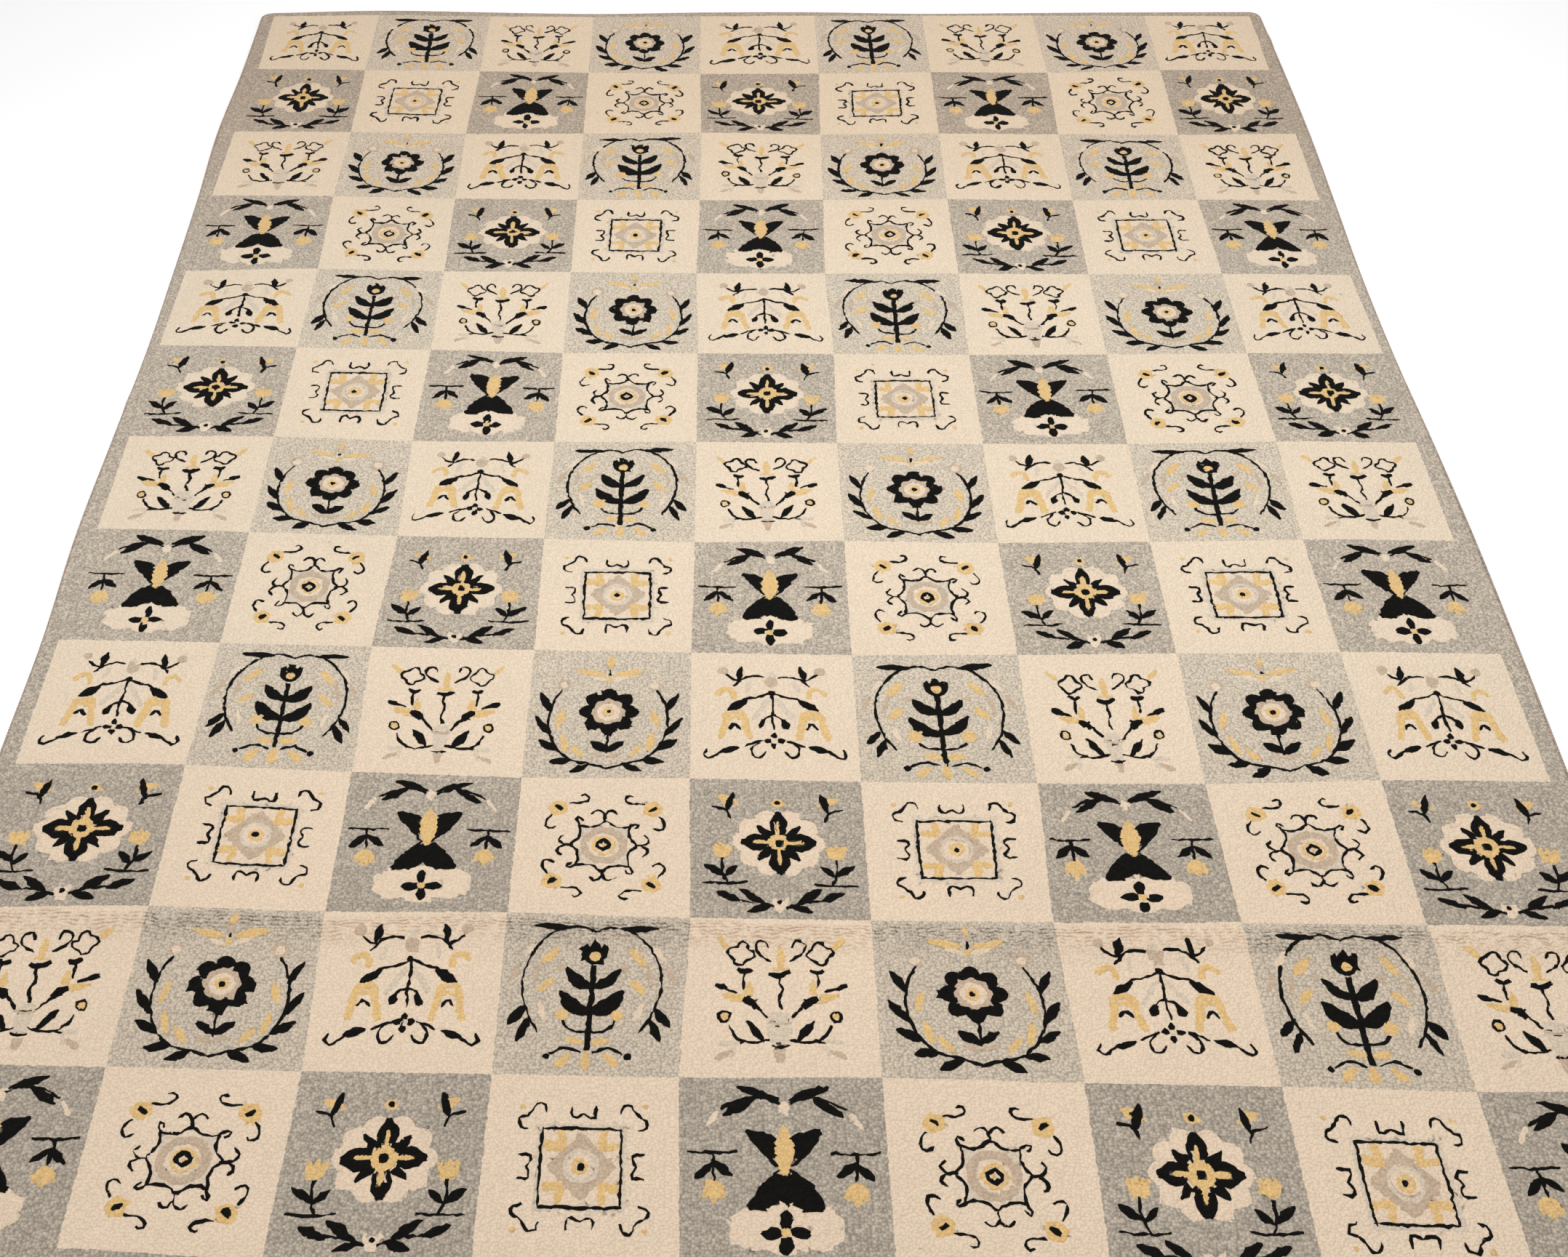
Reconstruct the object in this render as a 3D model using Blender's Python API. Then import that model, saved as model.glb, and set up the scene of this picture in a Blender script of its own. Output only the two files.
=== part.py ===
"""A room-size hooked rug: squares of looped wool pile on one woven backing, lying on the floor.

Metres, +Z up. +X runs across the rug, +Y along it. The rug is one cloth, so it is one solid: a sheet
with a slightly wavy outline, a rolled pile edge, and the low ridges that old folds left in it.
"""

import math
from collections import namedtuple

import bmesh
import bpy
import numpy as np

# Driving dimensions, in metres.
SQUARE = 0.298
COLUMNS = 9
ROWS = 12
BACKING = 0.002
PILE = 0.007

# The rim: the pile rolls over at the top, and the hem's lower edge is eased.
PILE_ROLL = 0.0045
PILE_ROLL_STEPS = 3
HEM_EASE = 0.0015

# Grid lines of the mesh.
LINES_A_SQUARE = 3
LINES_A_BORDER = 2
FOLD_LINE_STEP = 0.05
FOLD_REACH = 0.2

MM = 0.001

# Width of the plain border outside the squares, at each row line, counted from the far end.
SideBorder = namedtuple("SideBorder", "row_line left_mm right_mm")
SIDE_BORDERS = (
    SideBorder(0, 38, 28),
    SideBorder(1, 39, 32),
    SideBorder(2, 47, 33),
    SideBorder(3, 38, 27),
    SideBorder(4, 34, 20),
    SideBorder(5, 32, 21),
    SideBorder(6, 39, 30),
    SideBorder(7, 45, 35),
    SideBorder(8, 38, 34),
    SideBorder(9, 43, 31),
    SideBorder(10, 40, 30),
    SideBorder(11, 37, 29),
    SideBorder(12, 39, 31),
)

# The same at the two ends, at each column line, counted from the left.
EndBorder = namedtuple("EndBorder", "column_line far_mm near_mm")
END_BORDERS = (
    EndBorder(0, 27, 29),
    EndBorder(1, 40, 31),
    EndBorder(2, 30, 28),
    EndBorder(3, 21, 26),
    EndBorder(4, 29, 30),
    EndBorder(5, 30, 33),
    EndBorder(6, 21, 29),
    EndBorder(7, 25, 27),
    EndBorder(8, 28, 30),
    EndBorder(9, 29, 31),
)

# The long fold: where its crest crosses each column line, and how high it stands there.
FoldPoint = namedtuple("FoldPoint", "column_line row_line height_mm")
LONG_FOLD = (
    FoldPoint(0, 10.09, 5.0),
    FoldPoint(2, 10.13, 6.0),
    FoldPoint(4, 10.11, 6.0),
    FoldPoint(6, 10.14, 7.0),
    FoldPoint(7, 10.10, 8.0),
    FoldPoint(8, 10.13, 6.5),
    FoldPoint(9, 10.11, 5.0),
)
LONG_FOLD_HALF_WIDTH = 0.045

# Short creases, each a low ridge from one place on the grid of squares to another.
Crease = namedtuple("Crease", "from_column from_row to_column to_row height_mm half_width_mm")
CREASES = (
    Crease(7.15, 10.35, 6.75, 9.70, 4.0, 42),
    Crease(8.0, 0.50, 9.1, 0.42, 3.0, 50),
    Crease(-0.1, 5.60, 0.6, 5.66, 2.5, 50),
)

# Finishes, one slot each. Cream squares alternate with light-grey ones in the first row, with
# dark-grey ones in the second, and so on. The border is dark grey.
Finish = namedtuple("Finish", "name colour roughness")
FINISHES = (
    Finish("cream_wool", (0.80, 0.68, 0.52), 0.95),
    Finish("light_grey_wool", (0.50, 0.50, 0.44), 0.95),
    Finish("dark_grey_wool", (0.31, 0.30, 0.27), 0.95),
    Finish("cotton_backing", (0.62, 0.55, 0.43), 0.90),
)
CREAM_SLOT = 0
LIGHT_GREY_SLOT = 1
DARK_GREY_SLOT = 2
BACKING_SLOT = 3


def remove_everything():
    for item in list(bpy.data.objects):
        bpy.data.objects.remove(item, do_unlink=True)


def smooth_value(table, column, place):
    """One column of a table at a place between its rows, on a smooth curve through them."""
    places = [row[0] for row in table]
    values = [getattr(row, column) for row in table]
    slopes = np.gradient(values, places)
    i = int(np.clip(np.searchsorted(places, place) - 1, 0, len(places) - 2))
    step = places[i + 1] - places[i]
    t = float(np.clip((place - places[i]) / step, 0.0, 1.0))
    start = (1 + 2 * t) * (1 - t) ** 2 * values[i] + t * (1 - t) ** 2 * step * slopes[i]
    end = t * t * (3 - 2 * t) * values[i + 1] + t * t * (t - 1) * step * slopes[i + 1]
    return start + end


def grid_lines(squares, extra=()):
    """Places of the mesh's grid lines in squares. Below 0 and past the last square lie the borders,
    where the number is the share of the border's width."""
    border = [k / LINES_A_BORDER for k in range(1, LINES_A_BORDER + 1)]
    inside = [k / LINES_A_SQUARE for k in range(squares * LINES_A_SQUARE + 1)]
    inside = sorted(set(round(place, 4) for place in [*inside, *extra]))
    return [-share for share in reversed(border)] + inside + [squares + share for share in border]


def split_place(place, squares):
    """A grid place as the part inside the squares and the signed share of the border."""
    inside = min(max(place, 0.0), float(squares))
    return inside, place - inside


def round_off(across, along):
    """Moves a point of a border corner from a square onto a quarter circle of the same size."""
    far = max(abs(across), abs(along))
    near = min(abs(across), abs(along))
    if near == 0.0:
        return across, along
    angle = math.pi / 4 * near / far
    long_side, short_side = far * math.cos(angle), far * math.sin(angle)
    if abs(across) >= abs(along):
        return math.copysign(long_side, across), math.copysign(short_side, along)
    return math.copysign(short_side, across), math.copysign(long_side, along)


def flat_position(column, row):
    """The place on the floor of a grid place, with the left end of the far row line as origin."""
    column_inside, across = split_place(column, COLUMNS)
    row_inside, along = split_place(row, ROWS)
    across, along = round_off(across, along)
    side = "left_mm" if across < 0 else "right_mm"
    end = "far_mm" if along < 0 else "near_mm"
    side_width = smooth_value(SIDE_BORDERS, side, row_inside) * MM
    end_width = smooth_value(END_BORDERS, end, column_inside) * MM
    return column_inside * SQUARE + across * side_width, -row_inside * SQUARE - along * end_width


def bump(distance, half_width):
    """A smooth ridge profile: 1 at its crest, 0 from its half width outwards."""
    if abs(distance) >= half_width:
        return 0.0
    return 0.5 + 0.5 * math.cos(math.pi * distance / half_width)


def crease_lift(crease, x, y):
    """How high one short crease lifts the cloth at a place on the floor."""
    start = np.array((crease.from_column, -crease.from_row)) * SQUARE
    end = np.array((crease.to_column, -crease.to_row)) * SQUARE
    run = end - start
    share = float(np.clip(np.dot((x, y) - start, run) / np.dot(run, run), 0.0, 1.0))
    away = float(np.linalg.norm((x, y) - start - share * run))
    return crease.height_mm * MM * bump(away, crease.half_width_mm * MM)


def lift(x, y):
    """How high the folds lift the cloth off the floor at a place."""
    column = x / SQUARE
    crest = -smooth_value(LONG_FOLD, "row_line", column) * SQUARE
    height = smooth_value(LONG_FOLD, "height_mm", column) * MM
    long_fold = height * bump(y - crest, LONG_FOLD_HALF_WIDTH)
    return max([long_fold] + [crease_lift(crease, x, y) for crease in CREASES])


def make_material(finish):
    material = bpy.data.materials.new(finish.name)
    material.use_nodes = True
    shader = material.node_tree.nodes["Principled BSDF"]
    shader.inputs["Base Color"].default_value = (*finish.colour, 1.0)
    shader.inputs["Roughness"].default_value = finish.roughness
    shader.inputs["Metallic"].default_value = 0.0
    material.diffuse_color = (*finish.colour, 1.0)
    return material


def pile_slot(column, row):
    """The finish slot of the pile at a grid place."""
    if not (0 <= column < COLUMNS and 0 <= row < ROWS):
        return DARK_GREY_SLOT
    if (int(column) + int(row)) % 2 == 0:
        return CREAM_SLOT
    return LIGHT_GREY_SLOT if int(row) % 2 == 0 else DARK_GREY_SLOT


def underside(mesh, columns, rows):
    """The cloth's lower face as a grid of quads, coloured by the square each one lies in."""
    points = []
    for row in rows:
        line = []
        for column in columns:
            x, y = flat_position(column, row)
            line.append(mesh.verts.new((x, y, lift(x, y))))
        points.append(line)
    for j in range(len(rows) - 1):
        for i in range(len(columns) - 1):
            corners = (points[j][i], points[j][i + 1], points[j + 1][i + 1], points[j + 1][i])
            face = mesh.faces.new(corners)
            middle = (columns[i] + columns[i + 1]) / 2, (rows[j] + rows[j + 1]) / 2
            face.material_index = pile_slot(*middle)


def thicken(mesh):
    """Raises a copy of the underside by the backing and the pile, with walls round the rim."""
    lower = mesh.faces[:]
    raised = bmesh.ops.extrude_face_region(mesh, geom=lower, use_keep_orig=True)["geom"]
    upper = [item for item in raised if isinstance(item, bmesh.types.BMVert)]
    bmesh.ops.translate(mesh, verts=upper, vec=(0.0, 0.0, BACKING + PILE))
    for face in lower:
        face.material_index = BACKING_SLOT
    bmesh.ops.recalc_face_normals(mesh, faces=mesh.faces[:])


def rim_edges(mesh, upper):
    """The edges where the rim's walls meet the upper or the lower face."""
    def is_wall(face):
        return abs(face.normal.z) < 0.5

    found = []
    for edge in mesh.edges:
        if len(edge.link_faces) != 2 or is_wall(edge.link_faces[0]) == is_wall(edge.link_faces[1]):
            continue
        flat = next(face for face in edge.link_faces if not is_wall(face))
        if (flat.normal.z > 0) == upper:
            found.append(edge)
    return found


def ease(mesh, edges, offset, steps):
    bmesh.ops.bevel(mesh, geom=edges, offset=offset, segments=steps, profile=0.5, affect="EDGES",
                    clamp_overlap=True)


def centre_on_floor(mesh):
    """Puts the middle of the rug's bounding box over the origin, with its underside at z = 0."""
    spots = np.array([point.co for point in mesh.verts])
    low, high = spots.min(axis=0), spots.max(axis=0)
    middle = (low + high) / 2
    bmesh.ops.translate(mesh, verts=mesh.verts[:], vec=(-middle[0], -middle[1], -low[2]))


def make_rug():
    fold_rows = [point.row_line for point in LONG_FOLD]
    first, last = min(fold_rows) - FOLD_REACH, max(fold_rows) + FOLD_REACH
    columns = grid_lines(COLUMNS)
    rows = grid_lines(ROWS, extra=np.arange(first, last, FOLD_LINE_STEP))
    mesh = bmesh.new()
    underside(mesh, columns, rows)
    thicken(mesh)
    ease(mesh, rim_edges(mesh, upper=True), PILE_ROLL, PILE_ROLL_STEPS)
    ease(mesh, rim_edges(mesh, upper=False), HEM_EASE, 1)
    centre_on_floor(mesh)
    data = bpy.data.meshes.new("hooked_rug")
    mesh.to_mesh(data)
    mesh.free()
    data.shade_smooth()
    for finish in FINISHES:
        data.materials.append(make_material(finish))
    rug = bpy.data.objects.new("hooked_rug", data)
    bpy.context.collection.objects.link(rug)


remove_everything()
make_rug()
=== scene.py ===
"""Looks of the room-size hooked rug: loops of wool yarn in squares, on a woven cotton backing.

Metres, +Z up. +X runs across the rug, +Y along it, away from the camera. Places on the rug are also
given in squares: column 0 to 9 from the left, row 0 to 12 from the far end.
"""

import math
from collections import namedtuple

import bmesh
import bpy
import numpy as np
from mathutils import Matrix, Vector


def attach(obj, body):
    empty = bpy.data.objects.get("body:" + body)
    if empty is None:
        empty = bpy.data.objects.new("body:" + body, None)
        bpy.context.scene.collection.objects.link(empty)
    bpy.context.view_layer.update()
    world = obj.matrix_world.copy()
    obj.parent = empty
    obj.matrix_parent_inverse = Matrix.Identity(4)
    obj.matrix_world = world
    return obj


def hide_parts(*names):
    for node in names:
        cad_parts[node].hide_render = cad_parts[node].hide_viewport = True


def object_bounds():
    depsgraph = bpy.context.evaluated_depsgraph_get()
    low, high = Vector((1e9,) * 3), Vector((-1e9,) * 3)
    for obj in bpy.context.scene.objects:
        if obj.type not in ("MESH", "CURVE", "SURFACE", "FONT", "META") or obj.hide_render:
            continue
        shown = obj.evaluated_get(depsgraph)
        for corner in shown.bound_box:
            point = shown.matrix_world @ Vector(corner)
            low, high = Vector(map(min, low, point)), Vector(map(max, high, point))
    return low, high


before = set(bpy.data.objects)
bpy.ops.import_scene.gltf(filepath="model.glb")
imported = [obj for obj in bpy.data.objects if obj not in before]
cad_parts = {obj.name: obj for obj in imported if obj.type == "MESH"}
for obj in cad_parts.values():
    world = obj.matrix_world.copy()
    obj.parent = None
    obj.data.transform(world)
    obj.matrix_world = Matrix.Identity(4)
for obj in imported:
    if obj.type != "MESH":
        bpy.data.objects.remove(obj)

cad_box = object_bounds()

MM = 0.001
TINY = 1e-9

# The rug's size and layers, as in the CAD model.
SQUARE = 0.298
COLUMNS = 9
ROWS = 12
BACKING = 0.002
PILE = 0.007
TOP = BACKING + PILE

# Loops of yarn: how many fill a square's side, and how many fill the borders' widths.
LOOPS_A_SQUARE = 40
LOOPS_LEFT = 6
LOOPS_RIGHT = 5
LOOPS_END = 4
PITCH = 1.0 / LOOPS_A_SQUARE
LOOP_STEP = 0.90 * PITCH
LOOP_WIDTH = 0.95 * PITCH
MERGE_WITHIN = 0.02 * MM
SMALLEST_LOOP = 0.01

# The ground's loops: how far they drift in soft waves and stray one by one, and how many of them along a
# square's edges run beside it. The waves' number and their periods in a square come after.
GROUND_DRIFT = 0.32 * PITCH
GROUND_STRAY = 0.16 * PITCH
EDGE_LOOPS = 4
DRIFT_WAVES = 6, (3, 11)
PATCH_WAVES = 4, (1.5, 4)
PATCH_LEVEL = 0.1
BORDER_STRAY = 0.10

# The comb of loops on a line between squares: its depth, its stray and the most that it reaches.
COMB, COMB_STRAY, COMB_MOST = 0.05, 0.08, 0.32

# Heights: the valleys between loops, how uneven they are and at what rates along the rug and across,
# and how far the crowns stray to the side and in height. Where the rows gape, the valleys are deeper. At
# the rim the loops go down to the backing.
VALLEY = 1.0 * MM
VALLEY_UNEVEN = 0.25 * MM
VALLEY_RATES = 1310, 2, 790, 1170
CROWN_STRAY = 0.35 * MM
CROWN_UNEVEN = 0.22 * MM
CROWN_MOST = 0.6 * MM
GAPE_DEPTH = 1.5 * MM
RIM_FOOT = 1.0 * MM
RIM_DROP = 1.6 * MM

# How far a loop's corner may be drawn to the edge of a figure beside it.
FILL_REACH = 0.60 * PITCH

# Strokes lie over the ground: how far beside one its loops are pressed down, how deep, how much higher
# the stroke's own loops stand, how deep the valleys between them are, how uneven its width is, and how
# far its loops wander. Its ends are round: how far they reach, and how wide they are. Loops that lie
# this deep inside a later area or stroke are hidden.
PRESS_REACH = 0.45 * PITCH
PRESS_DEPTH = 2.0 * MM
STROKE_RISE = 0.5 * MM
STROKE_VALLEY = 1.3 * MM
THICK_AND_THIN = 0.42
MOST_THICK = 0.6
MOST_UNEVEN = 0.18 * PITCH
UNDER_AREA = 0.3 * PITCH
UNDER_STROKE = 0.9 * PITCH
STROKE_WANDER = 0.085 * PITCH
ROUND_END = 0.42
END_WIDTH = 0.6

# One hand's work differs from another's: how far a shape strays, how much thinner or thicker it is, and
# how far each square's figure is shifted, stretched and turned, within this margin of its edges.
HAND_STRAY = 0.0028
HAND_WIDTHS = 0.86, 1.16
SWAY_MARGIN = 0.13
SWAY_SHIFT = 0.011
SWAY_STRETCH = 0.025
SWAY_TURN = 0.022

SEED = 1948

# Width of the plain border outside the squares, in mm: at the two sides at each row line, counted from
# the far end, and at the two ends at each column line, counted from the left.
LEFT_BORDER = (38, 39, 47, 38, 34, 32, 39, 45, 38, 43, 40, 37, 39)
RIGHT_BORDER = (28, 32, 33, 27, 20, 21, 30, 35, 34, 31, 30, 29, 31)
FAR_BORDER = (27, 40, 30, 21, 29, 30, 21, 25, 28, 29)
NEAR_BORDER = (29, 31, 28, 26, 30, 33, 29, 27, 30, 31)

# The long fold: where its crest crosses some column lines, in rows, and how high it stands there in mm.
FOLD_COLUMNS = (0, 2, 4, 6, 7, 8, 9)
FOLD_ROWS = (10.09, 10.13, 10.11, 10.14, 10.10, 10.13, 10.11)
FOLD_HEIGHTS = (5.0, 6.0, 6.0, 7.0, 8.0, 6.5, 5.0)
LONG_FOLD_HALF_WIDTH = 0.045

# Short creases, each a low ridge from one place on the grid of squares to another.
Crease = namedtuple("Crease", "from_column from_row to_column to_row height_mm half_width_mm")
CREASES = (
    Crease(7.15, 10.35, 6.75, 9.70, 4.0, 42),
    Crease(8.0, 0.50, 9.1, 0.42, 3.0, 50),
    Crease(-0.1, 5.60, 0.6, 5.66, 2.5, 50),
)

# The rows of loops gape past the long fold: from this row line, between these distances in squares, and
# on a line that wavers by a size, at a rate, from a start. They gape in short dashes, which are waves of
# a size, with rates across and along, from a start. Where they gape more than a little, all rows run
# across the rug.
OPEN_ROW = 10.0
OPEN_FROM, OPEN_MOST, OPEN_TO = 0.015, 0.060, 0.22
OPEN_FALL = 0.8
CLOSED_BELOW = 0.1
WAVER = ((0.012, 5.1, 0.0), (0.010, 13.7, 1.0))
DASHES = ((1.0, 103, 230, 0.0), (0.7, 67, -310, 2.0))
DASH_LEVEL, DASH_CONTRAST = 0.65, 0.90

# Hand-hooked lines between the squares aren't quite straight: how far each one strays in mm. Row lines
# stray towards the near end, at their left, middle and right. Column lines stray to the right, at their
# far end, middle and near end.
ROW_LINES = (
    (-8, -10, -4, -7, -2, -7, -1, -7, -3, 1, 1, 1, 0),
    (-7, 0, 1, -1, 2, 4, 5, 2, 4, 11, 1, -4, 0),
    (-6, -8, -1, -4, -2, -3, -8, -11, -8, -3, -8, -8, 0),
)
COLUMN_LINES = (
    (-3, -2, 0, -4, -4, 1, -1, 3, 5, -3),
    (-4, 5, 1, 0, 1, -5, -3, -3, 0, -5),
    (-4, 0, 0, 1, -3, -1, 4, 3, 2, -3),
)
BETWEEN_THREE = 0.33
MOST_BENT = 1.6
NODE_STRAY = 2.5 * MM
NODE_MOST = 6 * MM

# Yarns: colour, and the colour at the foot of the loops, where painted shade and soil darken the yarn, how
# uneven the dye is, how strongly painted shade darkens the gaps between the loops, the wool's sheen, and
# the colours of painted shade that it is multiplied by towards the rug's far and near ends.
Yarn = namedtuple("Yarn", "name colour foot mottle gap sheen far near",
                  defaults=(0.12, (1.00, 0.96, 0.92), (0.98, 0.95, 0.92)))
YARNS = (
    Yarn("cream_yarn", (0.722, 0.601, 0.458), (0.36, 0.22, 0.13), 0.06, 0.20, 0.12,
         (0.98, 0.935, 0.885), (0.975, 0.940, 0.920)),
    Yarn("light_grey_yarn", (0.618, 0.531, 0.416), (0.11, 0.09, 0.07), 0.20, 0.42, 0.12,
         (1.00, 0.95, 0.92), (0.89, 0.87, 0.86)),
    Yarn("dark_grey_yarn", (0.497, 0.424, 0.337), (0.08, 0.065, 0.052), 0.38, 0.42, 0.12,
         (0.90, 0.84, 0.80), (0.82, 0.82, 0.82)),
    Yarn("black_yarn", (0.0065, 0.0060, 0.0050), (0.004, 0.004, 0.004), 0.30, 0.50, 0.02,
         (1.0, 1.0, 1.0), (1.0, 1.0, 1.0)),
    Yarn("gold_yarn", (0.685, 0.470, 0.205), (0.40, 0.23, 0.09), 0.12, 0.25),
    Yarn("taupe_yarn", (0.515, 0.400, 0.292), (0.27, 0.19, 0.13), 0.12, 0.28),
    Yarn("mist_yarn", (0.620, 0.530, 0.420), (0.32, 0.25, 0.18), 0.08, 0.24),
    Yarn("ivory_yarn", (0.718, 0.592, 0.452), (0.36, 0.22, 0.13), 0.06, 0.18, 0.12,
         (0.98, 0.94, 0.89), (0.967, 0.925, 0.895)),
    Yarn("brown_yarn", (0.390, 0.295, 0.225), (0.10, 0.07, 0.05), 0.20, 0.40),
)
CREAM, LIGHT, DARK, BLACK, GOLD, TAUPE, MIST, IVORY, BROWN = range(len(YARNS))

# Where the painted shade towards the ends begins and is full, in metres along the rug.
FAR_END_SHADE = 0.5, 1.4
NEAR_END_SHADE = -0.3, -1.3

# Uneven dye: a noise's scale, detail and roughness, and its contrast in plain and in mottled yarn.
Dye = namedtuple("Dye", "scale detail roughness plain mottled")
FIBRES = Dye(900.0, 2.0, 0.7, 0.16, 0.0)
DYES = (
    Dye(105.0, 2.0, 0.6, 0.08, 1.5),
    Dye(26.0, 3.0, 0.6, 0.05, 0.4),
    Dye(1.6, 3.0, 0.5, 0.10, 0.0),
    FIBRES,
)
OWN_DYE_POWER, OWN_DYE_MEAN = 2.0, 0.33

# The fine loops of the yarn itself, finer than the mesh, the distances from their middles where the
# valleys between them begin and end, and their relief.
LOOPS_A_METRE = 205.0
LOOPS_UNEVEN = 0.85
VALLEY_FROM, VALLEY_TO = 0.22, 0.78
FIBRE_RELIEF = 0.25
YARN_BUMP = {"Strength": 0.65, "Distance": 0.0014}
YARN_ROUGHNESS = 0.86, 0.98
SHEEN_ROUGHNESS = 0.5
SHINE_OF_SHEEN = 2.0
ROW_EDGE_POWER = 1.5

# The backing's cotton: its colours, its threads a metre times two pi, the scale, detail and roughness of
# its slubs and stains, its relief, and how bright it is, with the parts of weave, slubs and hem in that.
COTTON, STAINED_COTTON, EVEN_COTTON = (0.56, 0.46, 0.32), (0.44, 0.34, 0.22), (0.50, 0.41, 0.28)
THREADS = 2200.0
SLUBS = 55.0, 3.0, 0.6
STAINS = 2.5, 4.0, 0.55
STAINED = 0.35, 0.70
CLOTH_BUMP = {"Strength": 0.5, "Distance": 0.0004}
CLOTH_ROUGHNESS = 0.84, 0.96
CLOTH_LEVEL = 0.83
IN_WEAVE, IN_SLUBS, IN_HEM, IN_SHADOW, IN_STITCH = 0.07, 0.30, 0.12, -0.45, -0.50

# Fibres and slubs as noise: the range of it that roughness follows.
NOISE_RANGE = 0.3, 0.7

# One-loop outlines, in thousandths of a square, how wide the rim of an edged area is, and how much
# bolder the black strokes are hooked.
LINE = 13.5
RIM_OF_AREA = 22
BOLD = 1.17

# The pile is made in blocks of this many columns and rows of squares.
BLOCK_COLUMNS = 3
BLOCK_ROWS = 3

# Stitches over the rim: their number, and the line they follow from the pile down to the floor, as
# distances outwards and heights. Between two stitches the line lies a little lower.
RIM_STITCHES = 1984
RIM_LINE = ((-4.4, 7.0), (-2.2, 8.3), (0.1, 6.2), (0.5, 2.6), (-0.8, 0.2))
RIM_POINTS = 3000
BETWEEN_STITCHES = 0.7 * MM
BAKE_STRIPS = 32

# The backing's mesh: lines in a square, and more of them round the long fold. Its rim lies in the
# border, at shares of the border's width.
LINES_A_SQUARE = 3
FOLD_ROW = 10.12
FOLD_LINE_STEP = 0.05
FOLD_REACH = 0.2
BACKING_RIM = 0.5, 0.90

# The hem on the underside: its raw edge and its seam, as shares of the border's width from the squares,
# the least and most widths of what is drawn there, and its stitches a metre.
HEM_EDGE = 0.12
HEM_SEAM = 0.28
HEM_THIN, HEM_WIDE = 0.02, 0.05
HEM_STITCHES = 90.0

# Light: lamps, and the room's own. The floor, with its half width.
Lamp = namedtuple("Lamp", "name place size power aim")
LAMPS = (
    Lamp("overhead", (0.4, -0.2, 3.4), 2.8, 80.0, (0.35, -0.15, 0.0)),
    Lamp("from_the_left", (-4.0, -1.4, 3.0), 2.0, 39.0, (0.0, 0.0, 0.0)),
    Lamp("on_the_floor_behind", (1.2, 6.5, 3.4), 5.0, 82.0, (1.2, 6.5, 0.0)),
)
ROOM_LIGHT = 0.62
FLOOR_HALF = 20.0
FLOOR_COLOUR = (0.96, 0.96, 0.96)
FLOOR_ROUGHNESS = 0.9
WHITE = (1.0, 1.0, 1.0)

# The camera's place, in metres, and where it looks, in degrees.
CAMERA_PLACE = (-0.1212, -2.9254, 2.5097)
CAMERA_DOWN = 46.49
CAMERA_LEFT = 2.948
CAMERA_ROLL = -1.491
CAMERA_LENS = 42.101
CAMERA_SENSOR = 36.0
CAMERA_SHIFT = (0.0919, 0.0023)


# ---------------------------------------------------------------- drawing figures

# A figure is made of strokes, each a line with a width at each point, and of areas inside an outline.
# The figures' numbers are thousandths of a square, and the shapes' are shares of one.
Shape = namedtuple("Shape", "yarn points widths filled")
THOUSANDTHS = 1000


def shares(*numbers):
    return np.array(numbers, float) / THOUSANDTHS


def pairs(numbers):
    return shares(*numbers).reshape(-1, 2)


def stroke(yarn, path, width):
    return [Shape(yarn, path, np.full(len(path), width / THOUSANDTHS), False)]


def curve(points, closed=False, steps=5):
    """A smooth line through points, by Catmull-Rom."""
    p = np.array(points, float)
    if len(p) < 3:
        return p
    if closed:
        p = np.vstack([p[-1], p, p[0], p[1]])
    else:
        p = np.vstack([2 * p[0] - p[1], p, 2 * p[-1] - p[-2]])
    t = (np.arange(steps) / steps)[:, None]
    runs = []
    for a, b, c, d in zip(p, p[1:], p[2:], p[3:]):
        bend = (2 * a - 5 * b + 4 * c - d) * t**2 + (3 * b - a - 3 * c + d) * t**3
        runs.append(0.5 * (2 * b + (c - a) * t + bend))
    if not closed:
        runs.append(p[-2:-1])
    return np.vstack(runs)


def line(yarn, *numbers):
    """A stroke through points. If one more number follows them, it is the stroke's width."""
    width = numbers[-1] if len(numbers) % 2 else LINE
    return stroke(yarn, curve(pairs(numbers[:len(numbers) // 2 * 2])), width)


def tapered(profile):
    """A way to draw strokes from a base to a tip, bent to one side by a share of their length. profile
    gives the width along them."""
    def draw(yarn, base_x, base_y, tip_x, tip_y, width, bend=0.0):
        a, b = pairs((base_x, base_y, tip_x, tip_y))
        side = np.array([b[1] - a[1], a[0] - b[0]]) * bend
        path = curve([a, (a + b) / 2 + side, b], steps=4)
        return [Shape(yarn, path, width / THOUSANDTHS * profile(np.linspace(0, 1, len(path))), False)]
    return draw


# A leaf is widest at its middle. A drop, such as a bud or petal, is narrow at its base, round at its tip.
leaf = tapered(lambda t: np.sin(math.pi * (0.07 + 0.86 * t)) ** 0.8)
drop = tapered(lambda t: np.sin(math.pi * (0.12 + 0.80 * t**1.7)) ** 0.6)


def dot(yarn, x, y, across):
    """A round spot: a stroke that hardly moves."""
    x, y = shares(x, y)
    return stroke(yarn, np.array([[x, y], [x + 1e-4, y]]), across)


def polygon(yarn, *numbers):
    return [Shape(yarn, pairs(numbers), None, True)]


def area(yarn, *numbers, steps=5):
    return [Shape(yarn, curve(pairs(numbers), closed=True, steps=steps), None, True)]


def oval(yarn, x, y, rx, ry, lobes=0, depth=0.0, turn=0.0):
    """A filled oval, scalloped if it has lobes."""
    x, y, rx, ry = shares(x, y, rx, ry)
    count = lobes * 6 if lobes else 28
    t = np.arange(count) / count * 2 * math.pi
    reach = 1 - depth + depth * np.abs(np.cos(lobes * (t - turn) / 2)) if lobes else 1.0
    points = np.column_stack([x + rx * reach * np.cos(t), y + ry * reach * np.sin(t)])
    return [Shape(yarn, points, None, True)]


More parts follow.
